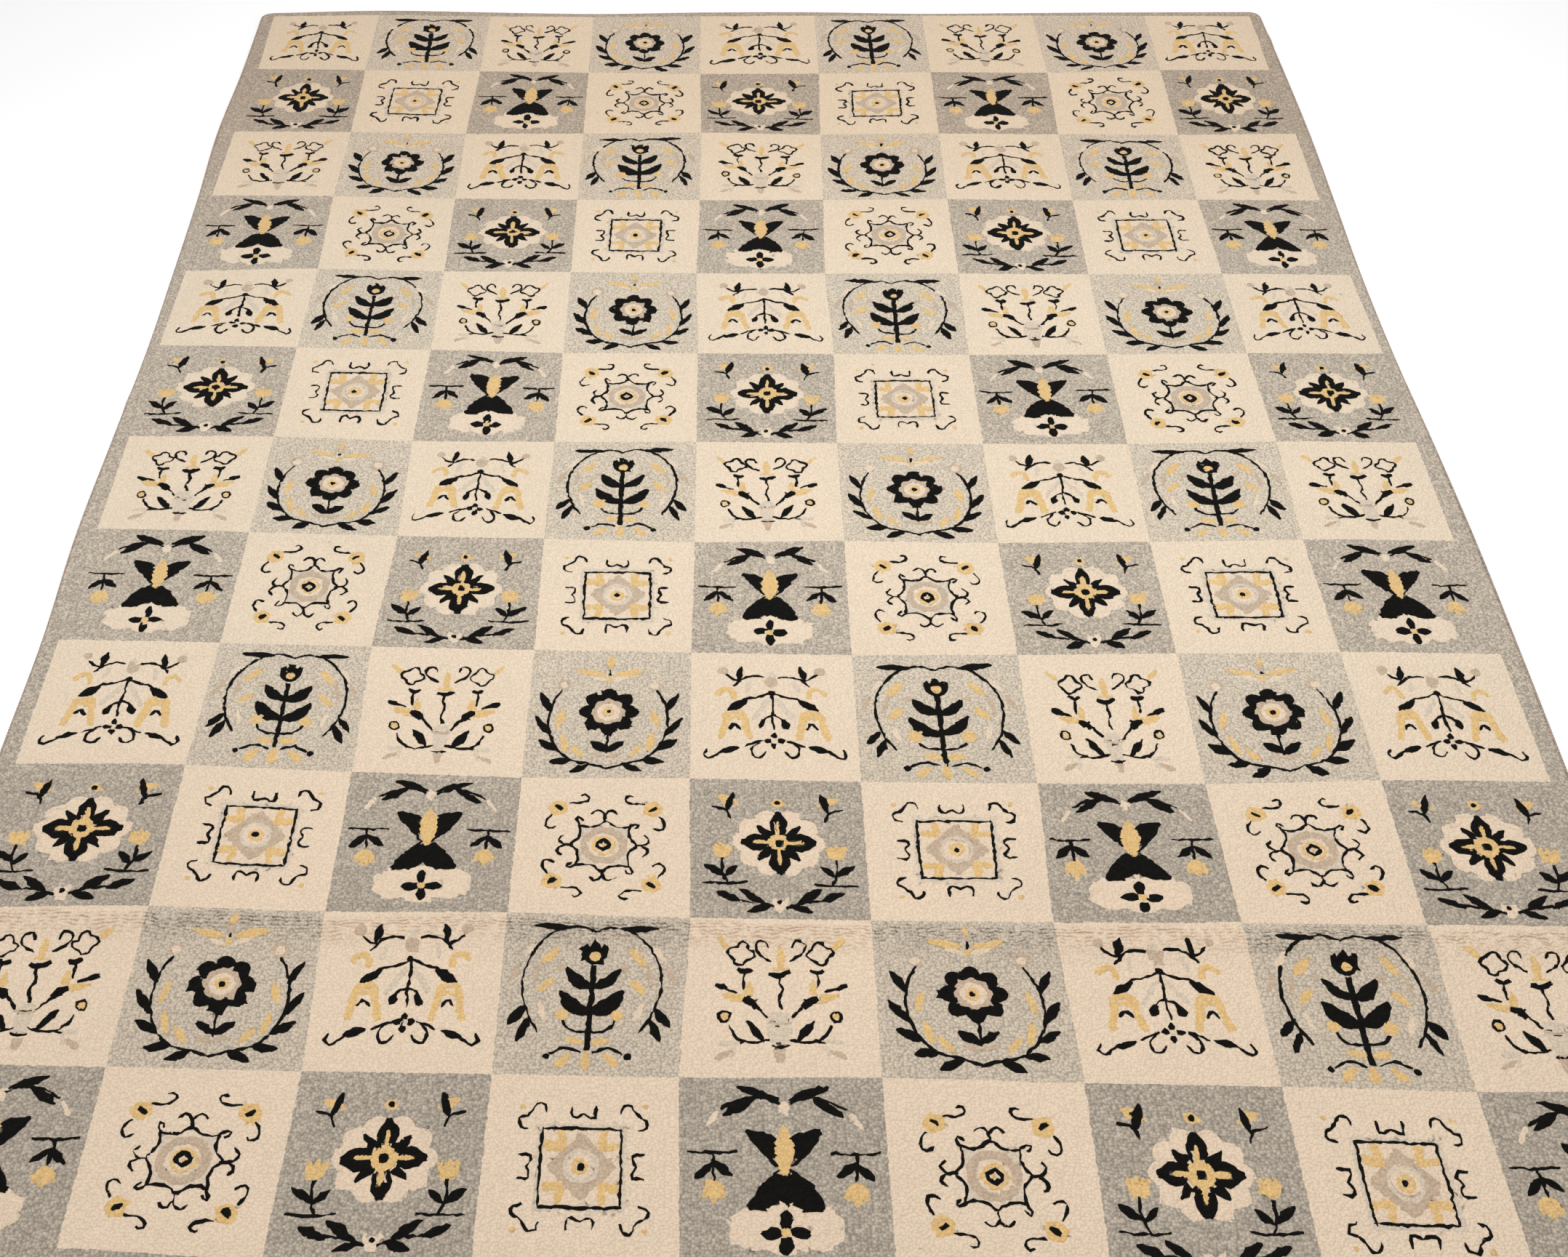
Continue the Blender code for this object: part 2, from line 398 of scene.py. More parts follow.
def ring(yarn, x, y, rx, ry, width=LINE, lobes=0, depth=0.0, turn=0.0):
    points = oval(yarn, x, y, rx, ry, lobes, depth, turn)[0].points
    return stroke(yarn, np.vstack([points, points[:1]]), width)


def edged(draw):
    """A way to draw an area with a row of loops along the inside of its outline."""
    def both(yarn, *numbers):
        shape = draw(yarn, *numbers)[0]
        middle = shape.points.mean(axis=0)
        reach = np.hypot(*(shape.points - middle).T).mean()
        rim = middle + (shape.points - middle) * (1 - 0.5 * (RIM_OF_AREA / THOUSANDTHS) / reach)
        return [shape] + stroke(yarn, np.vstack([rim, rim[:1]]), RIM_OF_AREA)
    return both


def drawn(*rows):
    """Shapes from rows of a way to draw, a yarn, and the numbers of each shape."""
    return [shape for draw, yarn, *each in rows for numbers in each for shape in draw(yarn, *numbers)]


def moved(shapes, matrix, x, y):
    turn, pivot = np.array(matrix, float), shares(x, y)
    return [shape._replace(points=(shape.points - pivot) @ turn.T + pivot) for shape in shapes]


def mirrored(shapes):
    return shapes + moved(shapes, [[-1, 0], [0, 1]], 500, 0)


def all_round(shapes, x=500, y=500):
    """The shapes and their copies after one, two and three quarter turns."""
    out = []
    for cos, sin in ((1, 0), (0, 1), (-1, 0), (0, -1)):
        out += moved(shapes, [[cos, -sin], [sin, cos]], x, y)
    return out


# ---------------------------------------------------------------- the eight figures

def bellflowers():
    """Cream square: a branched stem with two gold bells, over a scroll."""
    half = drawn(
        (line, GOLD, (180, 325, 215, 295, 260, 300, 272, 360, 36)),
        (line, MIST, (475, 385, 430, 450, 385, 520, 34), (360, 240, 345, 310, 26)),
        (line, GOLD, (188, 680, 212, 580, 226, 500, 272, 482, 318, 500, 332, 580, 356, 680, 48),
         (245, 530, 272, 520, 300, 530, 30)),
        (line, BLACK, (240, 606, 270, 573, 300, 608, 18), (500, 325, 420, 360, 360, 372, 320, 395)),
        (leaf, BLACK, (345, 392, 238, 462, 50)),
        (line, BLACK, (450, 195, 400, 188, 340, 205, 305, 235, 275, 265), (310, 228, 265, 215, 225, 180)),
        (leaf, BLACK, (300, 225, 322, 115, 40)),
        (dot, TAUPE, (205, 145, 64)),
        (line, BLACK, (500, 500, 455, 520, 430, 555)),
        (drop, BLACK, (440, 545, 418, 600, 42)),
        (line, BLACK, (425, 705, 370, 725, 325, 748), (405, 715, 365, 760, 370, 815, 410, 830, 445, 790),
         (200, 775, 145, 820, 110, 840, 85, 815, 100, 775)),
        (leaf, BLACK, (185, 790, 292, 755, 40)),
    )
    middle = drawn(
        (drop, MIST, (500, 260, 500, 160, 50)),
        (oval, TAUPE, (500, 235, 40, 47)),
        (line, BLACK, (500, 320, 503, 420, 495, 520, 502, 615)),
        (dot, BLACK, (500, 322, 36)),
    )
    buds = all_round(drop(BLACK, 500, 695, 500, 650, 34), 500, 705)
    return mirrored(half) + middle + buds + dot(IVORY, 500, 705, 30)


def sprig_pot():
    """Cream square: a small pot of sprigs and outlined flowers."""
    half = drawn(
        (line, GOLD, (160, 160, 205, 210, 32)),
        (ring, BLACK, (285, 248, 75, 72, LINE, 4, 0.42, 0.18)),
        (line, BLACK, (432, 208, 418, 175, 383, 172, 362, 200, 380, 248, 445, 290)),
        (leaf, GOLD, (330, 545, 330, 425, 50), (345, 545, 195, 505, 56)),
        (line, BLACK, (305, 372, 298, 410, 302, 465), (278, 352, 302, 366, 332, 356, 28),
         (205, 468, 262, 487), (166, 452, 205, 466, 34), (445, 660, 400, 605, 355, 550),
         (322, 535, 350, 548, 366, 570, 40), (338, 565, 372, 535)),
        (dot, GOLD, (213, 635, 50)),
        (ring, BLACK, (213, 635, 28, 31)),
        (line, BLACK, (460, 775, 380, 795, 320, 790, 265, 755, 237, 695), (320, 790, 280, 800)),
        (leaf, BLACK, (415, 785, 330, 668, 44)),
        (drop, MIST, (275, 800, 190, 800, 36), (275, 810, 255, 875, 32)),
        (drop, TAUPE, (250, 845, 175, 885, 38)),
    )
    return mirrored(half) + drawn(
        (leaf, GOLD, (500, 335, 500, 205, 50)),
        (line, GOLD, (462, 340, 538, 340, 20)),
        (line, BLACK, (497, 655, 508, 600, 488, 540, 506, 480, 492, 420, 500, 390),
         (458, 378, 495, 388, 545, 368, 30)),
        (tapered(lambda t: 1 - 0.32 * t), MIST, (500, 665, 500, 795, 122)),
        (line, TAUPE, (445, 672, 500, 684, 555, 672, 18)),
        (tapered(lambda t: 1 - 0.35 * t), TAUPE, (500, 838, 500, 892, 62)),
        (line, BLACK, (460, 818, 500, 826, 540, 818)),
    )


def square_medal():
    """Cream square: a round flower in a square frame, with brackets round it."""
    out = drawn(
        (polygon, MIST, (265, 265, 735, 265, 735, 735, 265, 735)),
        (polygon, IVORY, (295, 295, 705, 295, 705, 705, 295, 705)),
        (edged(polygon), TAUPE, (500, 320, 680, 500, 500, 680, 320, 500)),
        (ring, MIST, (500, 500, 84, 84, 24)),
        (oval, IVORY, (500, 500, 72, 72)),
        (ring, GOLD, (500, 500, 36, 36, 24)),
        (dot, GOLD, (500, 500, 55)),
        (dot, BLACK, (500, 500, 34)),
    )
    out += all_round(drawn((line, GOLD, (386, 318, 397, 395, 46), (318, 386, 385, 397, 46))))
    out += all_round(line(BLACK, 295, 295, 500, 291, 705, 295))
    return out + all_round(drawn(
        (line, BLACK, (432, 178, 430, 226, 462, 238, 497, 218, 530, 240, 560, 230, 562, 178),
         (298, 202, 285, 165, 245, 158, 226, 194, 194, 226, 158, 245, 165, 285, 202, 298)),
        (dot, GOLD, (170, 170, 32)),
    ))


def scroll_frame():
    """Cream square: a small flower in a frame of scrolls, with a flower at each corner."""
    out = area(MIST, 500, 370, 640, 360, 630, 500, 640, 640, 500, 630, 360, 640, 370, 500, 360, 360, steps=4)
    out += drawn(
        (ring, TAUPE, (500, 500, 111, 111, 46)),
        (oval, IVORY, (500, 500, 86, 86)),
        (ring, GOLD, (500, 500, 62, 62, 20, 4, 0.12)),
        (ring, BLACK, (500, 500, 36, 36, 20, 4, 0.30)),
        (dot, GOLD, (500, 500, 22)),
    )
    side = drawn(
        (line, BLACK, (352, 352, 400, 362, 455, 352, 500, 315, 545, 352, 600, 362, 648, 352),
         (500, 318, 497, 282, 482, 252, 452, 243, 425, 265), (500, 282, 518, 254, 545, 246, 565, 268),
         (352, 352, 332, 318, 345, 300, 368, 322)),
    )
    flower = drawn(
        (edged(oval), GOLD, (232, 232, 60, 58, 5, 0.22, 0.5)),
        (line, BLACK, (222, 224, 244, 240, 28), (285, 190, 335, 190, 375, 180, 392, 150, 372, 128, 352, 136),
         (190, 285, 162, 325, 162, 365, 192, 382, 218, 366)),
    )
    return out + all_round(side) + mirrored(flower + moved(flower, [[1, 0], [0, -1]], 500, 500))


def wreath_tree():
    """Light-grey square: a black tulip tree inside a round vine."""
    half = drawn(
        (line, BLACK, (500, 125, 400, 95, 270, 140, 155, 280, 120, 450, 155, 620, 220, 740)),
        (leaf, BLACK, (360, 105, 160, 95, 42), (145, 600, 65, 700, 45), (170, 660, 110, 790, 42)),
        (leaf, TAUPE, (100, 330, 45, 440, 40)),
        (leaf, IVORY, (190, 200, 115, 290, 36)),
        (leaf, TAUPE, (200, 330, 175, 460, 34)),
        (leaf, IVORY, (215, 560, 250, 680, 32)),
        (leaf, BLACK, (500, 630, 330, 500, 75, 0.12), (500, 470, 360, 360, 65, 0.12)),
        (leaf, GOLD, (215, 330, 305, 225, 52), (205, 505, 290, 425, 50), (485, 800, 385, 785, 48)),
        (line, BLACK, (500, 740, 420, 735, 370, 700, 355, 655)),
        (dot, GOLD, (350, 640, 80)),
        (dot, TAUPE, (325, 345, 50)),
        (line, BLACK, (460, 860, 380, 835, 300, 870)),
        (drop, GOLD, (400, 880, 335, 945, 54)),
        (dot, BLACK, (275, 885, 36)),
    )
    return mirrored(half) + drawn(
        (line, BLACK, (500, 300, 500, 860, 26)),
        (edged(area), BLACK,
         (500, 330, 440, 290, 430, 200, 465, 235, 500, 180, 535, 235, 570, 200, 560, 290)),
        (dot, GOLD, (500, 280, 62)),
        (drop, GOLD, (500, 870, 500, 955, 64)),
    )


def laurel_rosette():
    """Light-grey square: two laurel branches round a large rosette."""
    half = drawn(
        (line, BLACK, (500, 925, 400, 890, 270, 850, 170, 720, 135, 560, 160, 400, 205, 310)),
        (leaf, BLACK, (145, 470, 75, 340, 45), (145, 660, 55, 530, 48), (200, 780, 85, 710, 48),
         (285, 860, 160, 870, 48), (400, 895, 290, 950, 46)),
        (leaf, GOLD, (190, 600, 222, 470, 46), (250, 790, 218, 650, 46), (360, 840, 290, 750, 44)),
        (dot, TAUPE, (215, 265, 90)),
        (dot, IVORY, (215, 265, 60)),
        (leaf, GOLD, (470, 180, 290, 145, 48)),
        (leaf, IVORY, (480, 225, 380, 195, 34)),
    )
    out = mirrored(half) + drawn(
        (line, BLACK, (500, 200, 500, 140)),
        (dot, TAUPE, (500, 120, 60)),
        (leaf, GOLD, (500, 110, 500, 40, 44)),
        (dot, GOLD, (500, 215, 44)),
        (edged(oval), BLACK, (500, 480, 185, 185, 8, 0.30)),
        (edged(oval), TAUPE, (500, 480, 105, 105, 8, 0.2)),
        (edged(oval), IVORY, (500, 480, 70, 70)),
        (ring, GOLD, (500, 480, 30, 30, 22)),
        (dot, GOLD, (500, 480, 45)),
        (dot, BLACK, (500, 480, 30)),
        (line, BLACK, (500, 650, 500, 800)),
    )
    out += mirrored(leaf(BLACK, 500, 790, 400, 720, 50))
    return out + mirrored(leaf(TAUPE, 500, 830, 410, 810, 36))


def cloud_star():
    """Dark-grey square: a black star flower on a scalloped cloud, with tulips below it."""
    out = edged(oval)(IVORY, 500, 470, 270, 240, 10, 0.16)
    out += all_round(leaf(BLACK, 500, 470, 620, 350, 50) + drop(BLACK, 500, 460, 500, 270, 100), 500, 470)
    out += all_round(drop(GOLD, 500, 430, 500, 325, 36), 500, 470)
    out += dot(GOLD, 500, 470, 130) + dot(BLACK, 500, 470, 45)
    half = drawn(
        (line, BLACK, (170, 570, 170, 690, 200, 760)),
        (leaf, BLACK, (175, 700, 70, 630, 42), (180, 710, 255, 640, 40)),
        (line, BLACK, (60, 760, 200, 765, 300, 755)),
        (edged(area), GOLD,
         (170, 585, 125, 560, 115, 485, 148, 515, 170, 475, 192, 515, 225, 485, 215, 560)),
        (line, BLACK, (500, 930, 420, 900, 330, 870)),
        (leaf, BLACK, (440, 905, 320, 950, 45), (400, 890, 270, 800, 48), (260, 875, 130, 820, 42)),
        (line, BLACK, (340, 880, 250, 870)),
        (leaf, GOLD, (150, 150, 260, 200, 60)),
        (line, BLACK, (220, 300, 190, 240, 120, 220)),
        (leaf, BLACK, (200, 250, 240, 120, 42)),
    )
    return out + mirrored(half) + drawn(
        (area, IVORY, (500, 955, 455, 890, 465, 850, 500, 870, 535, 850, 545, 890)),
        (dot, BLACK, (500, 890, 30)),
        (area, GOLD, (500, 145, 460, 185, 500, 215, 540, 185)),
        (dot, BLACK, (500, 180, 30)),
    )


def leaf_knot():
    """Dark-grey square: crossed black leaves over a cloud, with gold buds at the sides."""
    half = drawn(
        (oval, IVORY, (360, 790, 140, 115, 7, 0.12)),
        (leaf, BLACK, (470, 130, 280, 60, 46), (360, 120, 220, 210, 46)),
        (line, BLACK, (500, 165, 400, 120, 300, 130, 200, 180)),
        (line, IVORY, (175, 205, 130, 270, 28)),
        (leaf, BLACK, (500, 500, 330, 300, 100, -0.12), (500, 500, 340, 680, 125, 0.14)),
        (line, BLACK, (40, 410, 150, 415, 270, 410), (155, 415, 165, 550)),
        (leaf, BLACK, (160, 460, 75, 545, 40), (160, 460, 250, 530, 40)),
        (edged(area), GOLD,
         (165, 555, 210, 585, 225, 650, 190, 630, 165, 680, 140, 630, 105, 650, 120, 585)),
    )
    out = mirrored(half) + oval(IVORY, 500, 800, 120, 130) + leaf(GOLD, 500, 520, 500, 280, 100)
    out += all_round(drop(BLACK, 500, 800, 500, 710, 50), 500, 810)
    out += dot(GOLD, 500, 810, 50) + dot(GOLD, 500, 500, 50)
    return out + area(IVORY, 500, 205, 470, 165, 500, 130, 530, 165)


# The figures come round again every four squares, from the far left.
Figure = namedtuple("Figure", "draw ground")
FIGURES = {
    "A": Figure(bellflowers, CREAM),
    "B": Figure(wreath_tree, LIGHT),
    "C": Figure(sprig_pot, CREAM),
    "D": Figure(laurel_rosette, LIGHT),
    "E": Figure(cloud_star, DARK),
    "F": Figure(square_medal, CREAM),
    "G": Figure(leaf_knot, DARK),
    "H": Figure(scroll_frame, CREAM),
}
REPEAT = ("ABCD", "EFGH", "CDAB", "GHEF")


# ---------------------------------------------------------------- loops of one square

# Loops lie side by side like tiles. Each has four corners and a yarn. Turned loops belong to rows
# that run along the rug; the others' rows run across it. Press is 0 for plain loops, up to 1 for ones
# pressed down under a stroke, and -1 for the loops of a black stroke, which stand a little higher.
Loops = namedtuple("Loops", "corners yarn turned press")
BLACK_PRESS, STROKE_PRESS = -1.0, -0.4


def joined(sets):
    return Loops(*(np.concatenate(part) for part in zip(*sets)))


def chosen_of(loops, chosen):
    return Loops(*(part[chosen] for part in loops))


def tiles(grid, along_first=False):
    """The four corners of each cell of a grid of places."""
    ways = [grid[:-1, :-1], grid[:-1, 1:], grid[1:, 1:], grid[1:, :-1]]
    if along_first:
        ways[1], ways[3] = ways[3], ways[1]
    return np.stack(ways, axis=2).reshape(-1, 4, 2)


def tiles_between(x, y, seams):
    """The same, with the grid's outer lines strayed by the seams: far, near, left and right."""
    far, near, left, right = seams
    y[0] += far
    y[-1] += near
    x[:, 0] += left
    x[:, -1] += right
    return tiles(np.stack([x, y], axis=2))


def eased(t):
    return t * t * (3 - 2 * t)


def from_edge(x, y):
    """How far places lie from the nearest edge of their square."""
    return np.minimum.reduce([x, 1 - x, y, 1 - y])


def across_line(run):
    """The directions square to a line's own, of length 1."""
    return np.column_stack([-run[:, 1], run[:, 0]]) / np.maximum(np.hypot(*run.T), TINY)[:, None]


def even_steps(points, widths, step):
    """The same line with its points one step apart."""
    legs = np.hypot(*np.diff(points, axis=0).T)
    run = np.concatenate([[0.0], np.cumsum(legs)])
    places = np.linspace(0, run[-1], max(1, round(run[-1] / step)) + 1)
    x, y, width = (np.interp(places, run, values) for values in (points[:, 0], points[:, 1], widths))
    return np.column_stack([x, y]), width


def is_dot(shape):
    return len(shape.points) == 2 and np.hypot(*(shape.points[1] - shape.points[0])) < 1e-3


def round_ends(shape):
    """A stroke's line and widths with its round ends added, which reach past the line's end points."""
    points, widths = shape.points, shape.widths
    first, last = points[0] - points[1], points[-1] - points[-2]
    first, last = (way / max(np.hypot(*way), TINY) for way in (first, last))
    start, end = points[0] + first * ROUND_END * widths[0], points[-1] + last * ROUND_END * widths[-1]
    widths = np.concatenate([[END_WIDTH * widths[0]], widths, [END_WIDTH * widths[-1]]])
    return np.vstack([start, points, end]), widths


def rows_along(shape, random):
    """Rows of loops that follow a stroke, side by side where it is wide. A dot is a small round patch."""
    if is_dot(shape):
        steps = np.linspace(-1, 1, max(2, round(shape.widths[0] / LOOP_WIDTH)) + 1)
        x, y = np.meshgrid(steps, steps)
        disc = np.stack([x * np.sqrt(1 - y * y / 2), y * np.sqrt(1 - x * x / 2)], axis=2)
        grid = shape.points[0] + disc * shape.widths[0] / 2
    else:
        path, width = even_steps(*round_ends(shape), LOOP_STEP)
        uneven = random.normal(0, THICK_AND_THIN, len(width)).clip(-MOST_THICK, MOST_THICK) * width
        width = width + uneven.clip(-MOST_UNEVEN, MOST_UNEVEN)
        path = path + random.normal(0, STROKE_WANDER, path.shape)
        lanes = max(1, round(width.max() / LOOP_WIDTH))
        reach = width[:, None] * (np.arange(lanes + 1) / lanes - 0.5)
        grid = path[:, None] + across_line(np.gradient(path, axis=0))[:, None] * reach[..., None]
    grid = grid + random.normal(0, STROKE_WANDER, grid.shape)
    corners = tiles(grid, along_first=True)
    count = len(corners)
    press = BLACK_PRESS if shape.yarn == BLACK else STROKE_PRESS
    return Loops(corners, np.full(count, shape.yarn), np.zeros(count, bool), np.full(count, press))


def nearest(shape, spots):
    """For each spot: its distance outside the shape's edge, and the nearest point of the shape's line."""
    start = shape.points if shape.filled else shape.points[:-1]
    end = np.roll(shape.points, -1, axis=0) if shape.filled else shape.points[1:]
    leg = end - start
    share = ((spots[:, None] - start) * leg).sum(axis=2) / np.maximum((leg * leg).sum(axis=1), 1e-12)
    share = np.clip(share, 0, 1)
    foot = start + share[..., None] * leg
    away = np.hypot(*np.moveaxis(spots[:, None] - foot, 2, 0))
    if not shape.filled:
        away = away - (shape.widths[:-1] + np.diff(shape.widths) * share) / 2
    best = away.argmin(axis=1)
    each = np.arange(len(spots))
    outside = away[each, best]
    if shape.filled:
        level = spots[:, 1:2]
        spans = (start[:, 1] > level) != (end[:, 1] > level)
        rise = np.where(leg[:, 1] == 0, 1e-12, leg[:, 1])
        crossing = start[:, 0] + (level - start[:, 1]) * leg[:, 0] / rise
        within = (spans & (spots[:, 0:1] < crossing)).sum(axis=1) % 2 == 1
        outside = np.where(within, -outside, outside)
    return outside, foot[each, best]


def around(shape, spots, margin):
    """Which spots lie in the box round a shape."""
    reach = margin if shape.filled else margin + shape.widths.max() / 2
    low, high = shape.points.min(axis=0) - reach, shape.points.max(axis=0) + reach
    return np.nonzero(((spots > low) & (spots < high)).all(axis=1))[0]


def fill_areas(loops, areas):
    """Gives the ground's loops the yarns of the areas, and draws their corners to the areas' edges."""
    spots = loops.corners.reshape(-1, 2).copy()
    closest = np.full(len(spots), np.inf)
    target = spots.copy()
    for k, shape in enumerate(areas):
        near = around(shape, spots, 2 * PITCH)
        if not len(near):
            continue
        outside, foot = nearest(shape, spots[near])
        hidden = np.zeros(len(near), bool)
        for later in areas[k + 1:]:
            hidden |= nearest(later, foot)[0] < -UNDER_AREA
        better = (np.abs(outside) < closest[near]) & ~hidden
        closest[near[better]] = np.abs(outside[better])
        target[near[better]] = foot[better]
    pulled = closest < FILL_REACH
    spots[pulled] = target[pulled]
    corners = spots.reshape(loops.corners.shape)
    middles, yarn = corners.mean(axis=1), loops.yarn.copy()
    for shape in areas:
        inside = around(shape, middles, PITCH)
        if len(inside):
            yarn[inside[nearest(shape, middles[inside])[0] < 0]] = shape.yarn
    return loops._replace(corners=corners, yarn=yarn)


def press_down(loops, shapes):
    """Lowers the ground's loops under the strokes, and leaves out the ones that lie deep under them. An
    area drawn over a stroke brings them back."""
    middles = loops.corners.mean(axis=1)
    press, hidden = np.zeros(len(middles)), np.zeros(len(middles), bool)
    for shape in shapes:
        found = around(shape, middles, PITCH)
        if not len(found):
            continue
        outside = nearest(shape, middles[found])[0]
        if shape.filled:
            over = found[outside < 0]
            press[over], hidden[over] = 0, False
        else:
            press[found] = np.maximum(press[found], (1 - outside / PRESS_REACH).clip(0, 1))
            hidden[found] |= outside < -UNDER_STROKE
    return chosen_of(loops._replace(press=press), ~hidden)


def left_uncovered(loops, later):
    """The loops of a stroke that no later shape is drawn over."""
    middles = loops.corners.mean(axis=1)
    seen = np.ones(len(middles), bool)
    for shape in later:
        seen &= nearest(shape, middles)[0] > 0
    return chosen_of(loops, seen)


def soft_noise(random, size, waves, periods):
    """Smooth random values on a square grid of places from 0 to 1, in -1 to 1."""
    x, y = np.meshgrid(np.linspace(0, 1, size), np.linspace(0, 1, size))
    total = np.zeros((size, size))
    for _ in range(waves):
        angle, phase = random.uniform(0, 2 * math.pi, 2)
        rate = random.uniform(*periods) * 2 * math.pi
        total += np.sin(rate * (x * math.cos(angle) + y * math.sin(angle)) + phase)
    return total / math.sqrt(waves)


def ground(yarn, seams, random):
    """The plain loops of a square, before the figure. seams are how far the loops' corners stray over the
    lines between squares: far, near, left and right."""
    size = LOOPS_A_SQUARE + 1
    x, y = np.meshgrid(np.arange(size) / LOOPS_A_SQUARE, np.arange(size) / LOOPS_A_SQUARE)
    inner = from_edge(x, y)
    drift = GROUND_DRIFT * np.clip(inner / (EDGE_LOOPS * PITCH), 0, 1)
    stray = GROUND_STRAY * (inner > 0)

    def move():
        soft = drift * soft_noise(random, size, *DRIFT_WAVES)
        return soft + stray * random.normal(0, 1, inner.shape).clip(-2, 2)

    corners = tiles_between(x + move(), y + move(), seams)
    k = np.arange(LOOPS_A_SQUARE)
    to_side = np.minimum(k, k[::-1])[None, :] + 0 * k[:, None]
    to_end = to_side.T
    patch = soft_noise(random, LOOPS_A_SQUARE, *PATCH_WAVES) > PATCH_LEVEL
    turned = np.where(np.minimum(to_side, to_end) < EDGE_LOOPS, to_end < to_side, patch)
    return Loops(corners, np.full(k.size**2, yarn), turned.ravel(), np.zeros(k.size**2))


def hand_made(shape, random):
    """A shape as another hand would have drawn it: strayed a little, thicker or thinner."""
    points = shape.points + random.normal(0, HAND_STRAY, 2)
    if shape.filled:
        return shape._replace(points=points)
    bold = BOLD if shape.yarn == BLACK else 1.0
    return shape._replace(points=points, widths=shape.widths * bold * random.uniform(*HAND_WIDTHS))


def square_loops(figure, seams, random):
    shapes = [hand_made(shape, random) for shape in figure.draw()]
    areas = [shape for shape in shapes if shape.filled]
    sets = [press_down(fill_areas(ground(figure.ground, seams, random), areas), shapes)]
    for k, shape in enumerate(shapes):
        if not shape.filled:
            later = [other for other in shapes[k + 1:] if other.filled or other.yarn != shape.yarn]
            sets.append(left_uncovered(rows_along(shape, random), later))
    return joined(sets)


def sway(spots, random):
    """Shifts, stretches and turns a square's inside a little, and leaves its edges where they are."""
    x, y = spots[..., 0], spots[..., 1]
    ease = eased(np.clip(from_edge(x, y) / SWAY_MARGIN, 0, 1))
    shift = random.uniform(-SWAY_SHIFT, SWAY_SHIFT, 2)
    stretch = random.uniform(-SWAY_STRETCH, SWAY_STRETCH, 2)
    turn = random.uniform(-SWAY_TURN, SWAY_TURN)
    dx = shift[0] + stretch[0] * (x - 0.5) - turn * (y - 0.5)
    dy = shift[1] + stretch[1] * (y - 0.5) + turn * (x - 0.5)
    return np.stack([x + ease * dx, y + ease * dy], axis=-1)


# ---------------------------------------------------------------- the rug's shape on the floor

def smooth_value(values, wanted, places=None):
    """Values at wanted places, on a smooth curve through the given ones. Those stand at given places, or
    else at 0, 1, 2 and so on."""
    values = np.array(values, float)
    places = np.arange(len(values), dtype=float) if places is None else np.array(places, float)
    slopes = np.gradient(values, places)
    i = np.clip(np.searchsorted(places, wanted) - 1, 0, len(places) - 2)
    step = places[i + 1] - places[i]
    t = np.clip((wanted - places[i]) / step, 0, 1)
    start = (1 + 2 * t) * (1 - t) ** 2 * values[i] + t * (1 - t) ** 2 * step * slopes[i]
    end = t * t * (3 - 2 * t) * values[i + 1] + t * t * (t - 1) * step * slopes[i + 1]
    return start + end


def three_way(table, wanted, share):
    """A smooth value from a table's three rows, which hold at share 0.17, 0.5 and 0.83 of the way."""
    first, middle, last = (smooth_value(row, wanted) for row in table)
    t = (share - 0.5) / BETWEEN_THREE
    return middle + t * (last - first) / 2 + np.minimum(t * t, MOST_BENT) * ((last + first) / 2 - middle)


NODE_RANDOM = np.random.default_rng(SEED)
NODE_SHIFTS = NODE_RANDOM.normal(0, NODE_STRAY, (ROWS + 1, COLUMNS + 1, 2)).clip(-NODE_MOST, NODE_MOST)


def node_shift(column, row):
    """The small stray of each crossing of the lines, blended smoothly between them."""
    i = np.clip(np.floor(column).astype(int), 0, COLUMNS - 1)
    j = np.clip(np.floor(row).astype(int), 0, ROWS - 1)
    s, t = eased(column - i)[:, None], eased(row - j)[:, None]
    top = NODE_SHIFTS[j, i] * (1 - s) + NODE_SHIFTS[j, i + 1] * s
    low = NODE_SHIFTS[j + 1, i] * (1 - s) + NODE_SHIFTS[j + 1, i + 1] * s
    return (top * (1 - t) + low * t).T


def flat_position(column, row):
    """Places on the floor of grid places. Below 0 and past the last square lie the borders, where the
    number is the share of the border's width."""
    inside_column, inside_row = np.clip(column, 0, COLUMNS), np.clip(row, 0, ROWS)
    across, along = column - inside_column, row - inside_row
    far, near = np.maximum(np.abs(across), np.abs(along)), np.minimum(np.abs(across), np.abs(along))
    angle = math.pi / 4 * near / np.maximum(far, TINY)
    long_side, short_side = far * np.cos(angle), far * np.sin(angle)
    wide = np.abs(across) >= np.abs(along)
    across = np.copysign(np.where(wide, long_side, short_side), across)
    along = np.copysign(np.where(wide, short_side, long_side), along)
    left, right = (smooth_value(border, inside_row) for border in (LEFT_BORDER, RIGHT_BORDER))
    far_end, near_end = (smooth_value(border, inside_column) for border in (FAR_BORDER, NEAR_BORDER))
    side, end = np.where(across < 0, left, right) * MM, np.where(along < 0, far_end, near_end) * MM
    to_right = three_way(COLUMN_LINES, inside_column, inside_row / ROWS) * MM
    nearer = three_way(ROW_LINES, inside_row, inside_column / COLUMNS) * MM
    extra_right, extra_near = node_shift(inside_column, inside_row)
    fade = (1 - np.abs(across)) * (1 - np.abs(along))
    x = inside_column * SQUARE + across * side + (to_right + extra_right) * fade
    y = -inside_row * SQUARE - along * end - (nearer + extra_near) * fade
    return x, y


def bump(distance, half_width):
    """A smooth ridge profile: 1 at its crest, 0 from its half width outwards."""
    return 0.5 + 0.5 * np.cos(math.pi * np.clip(np.abs(distance) / half_width, 0, 1))


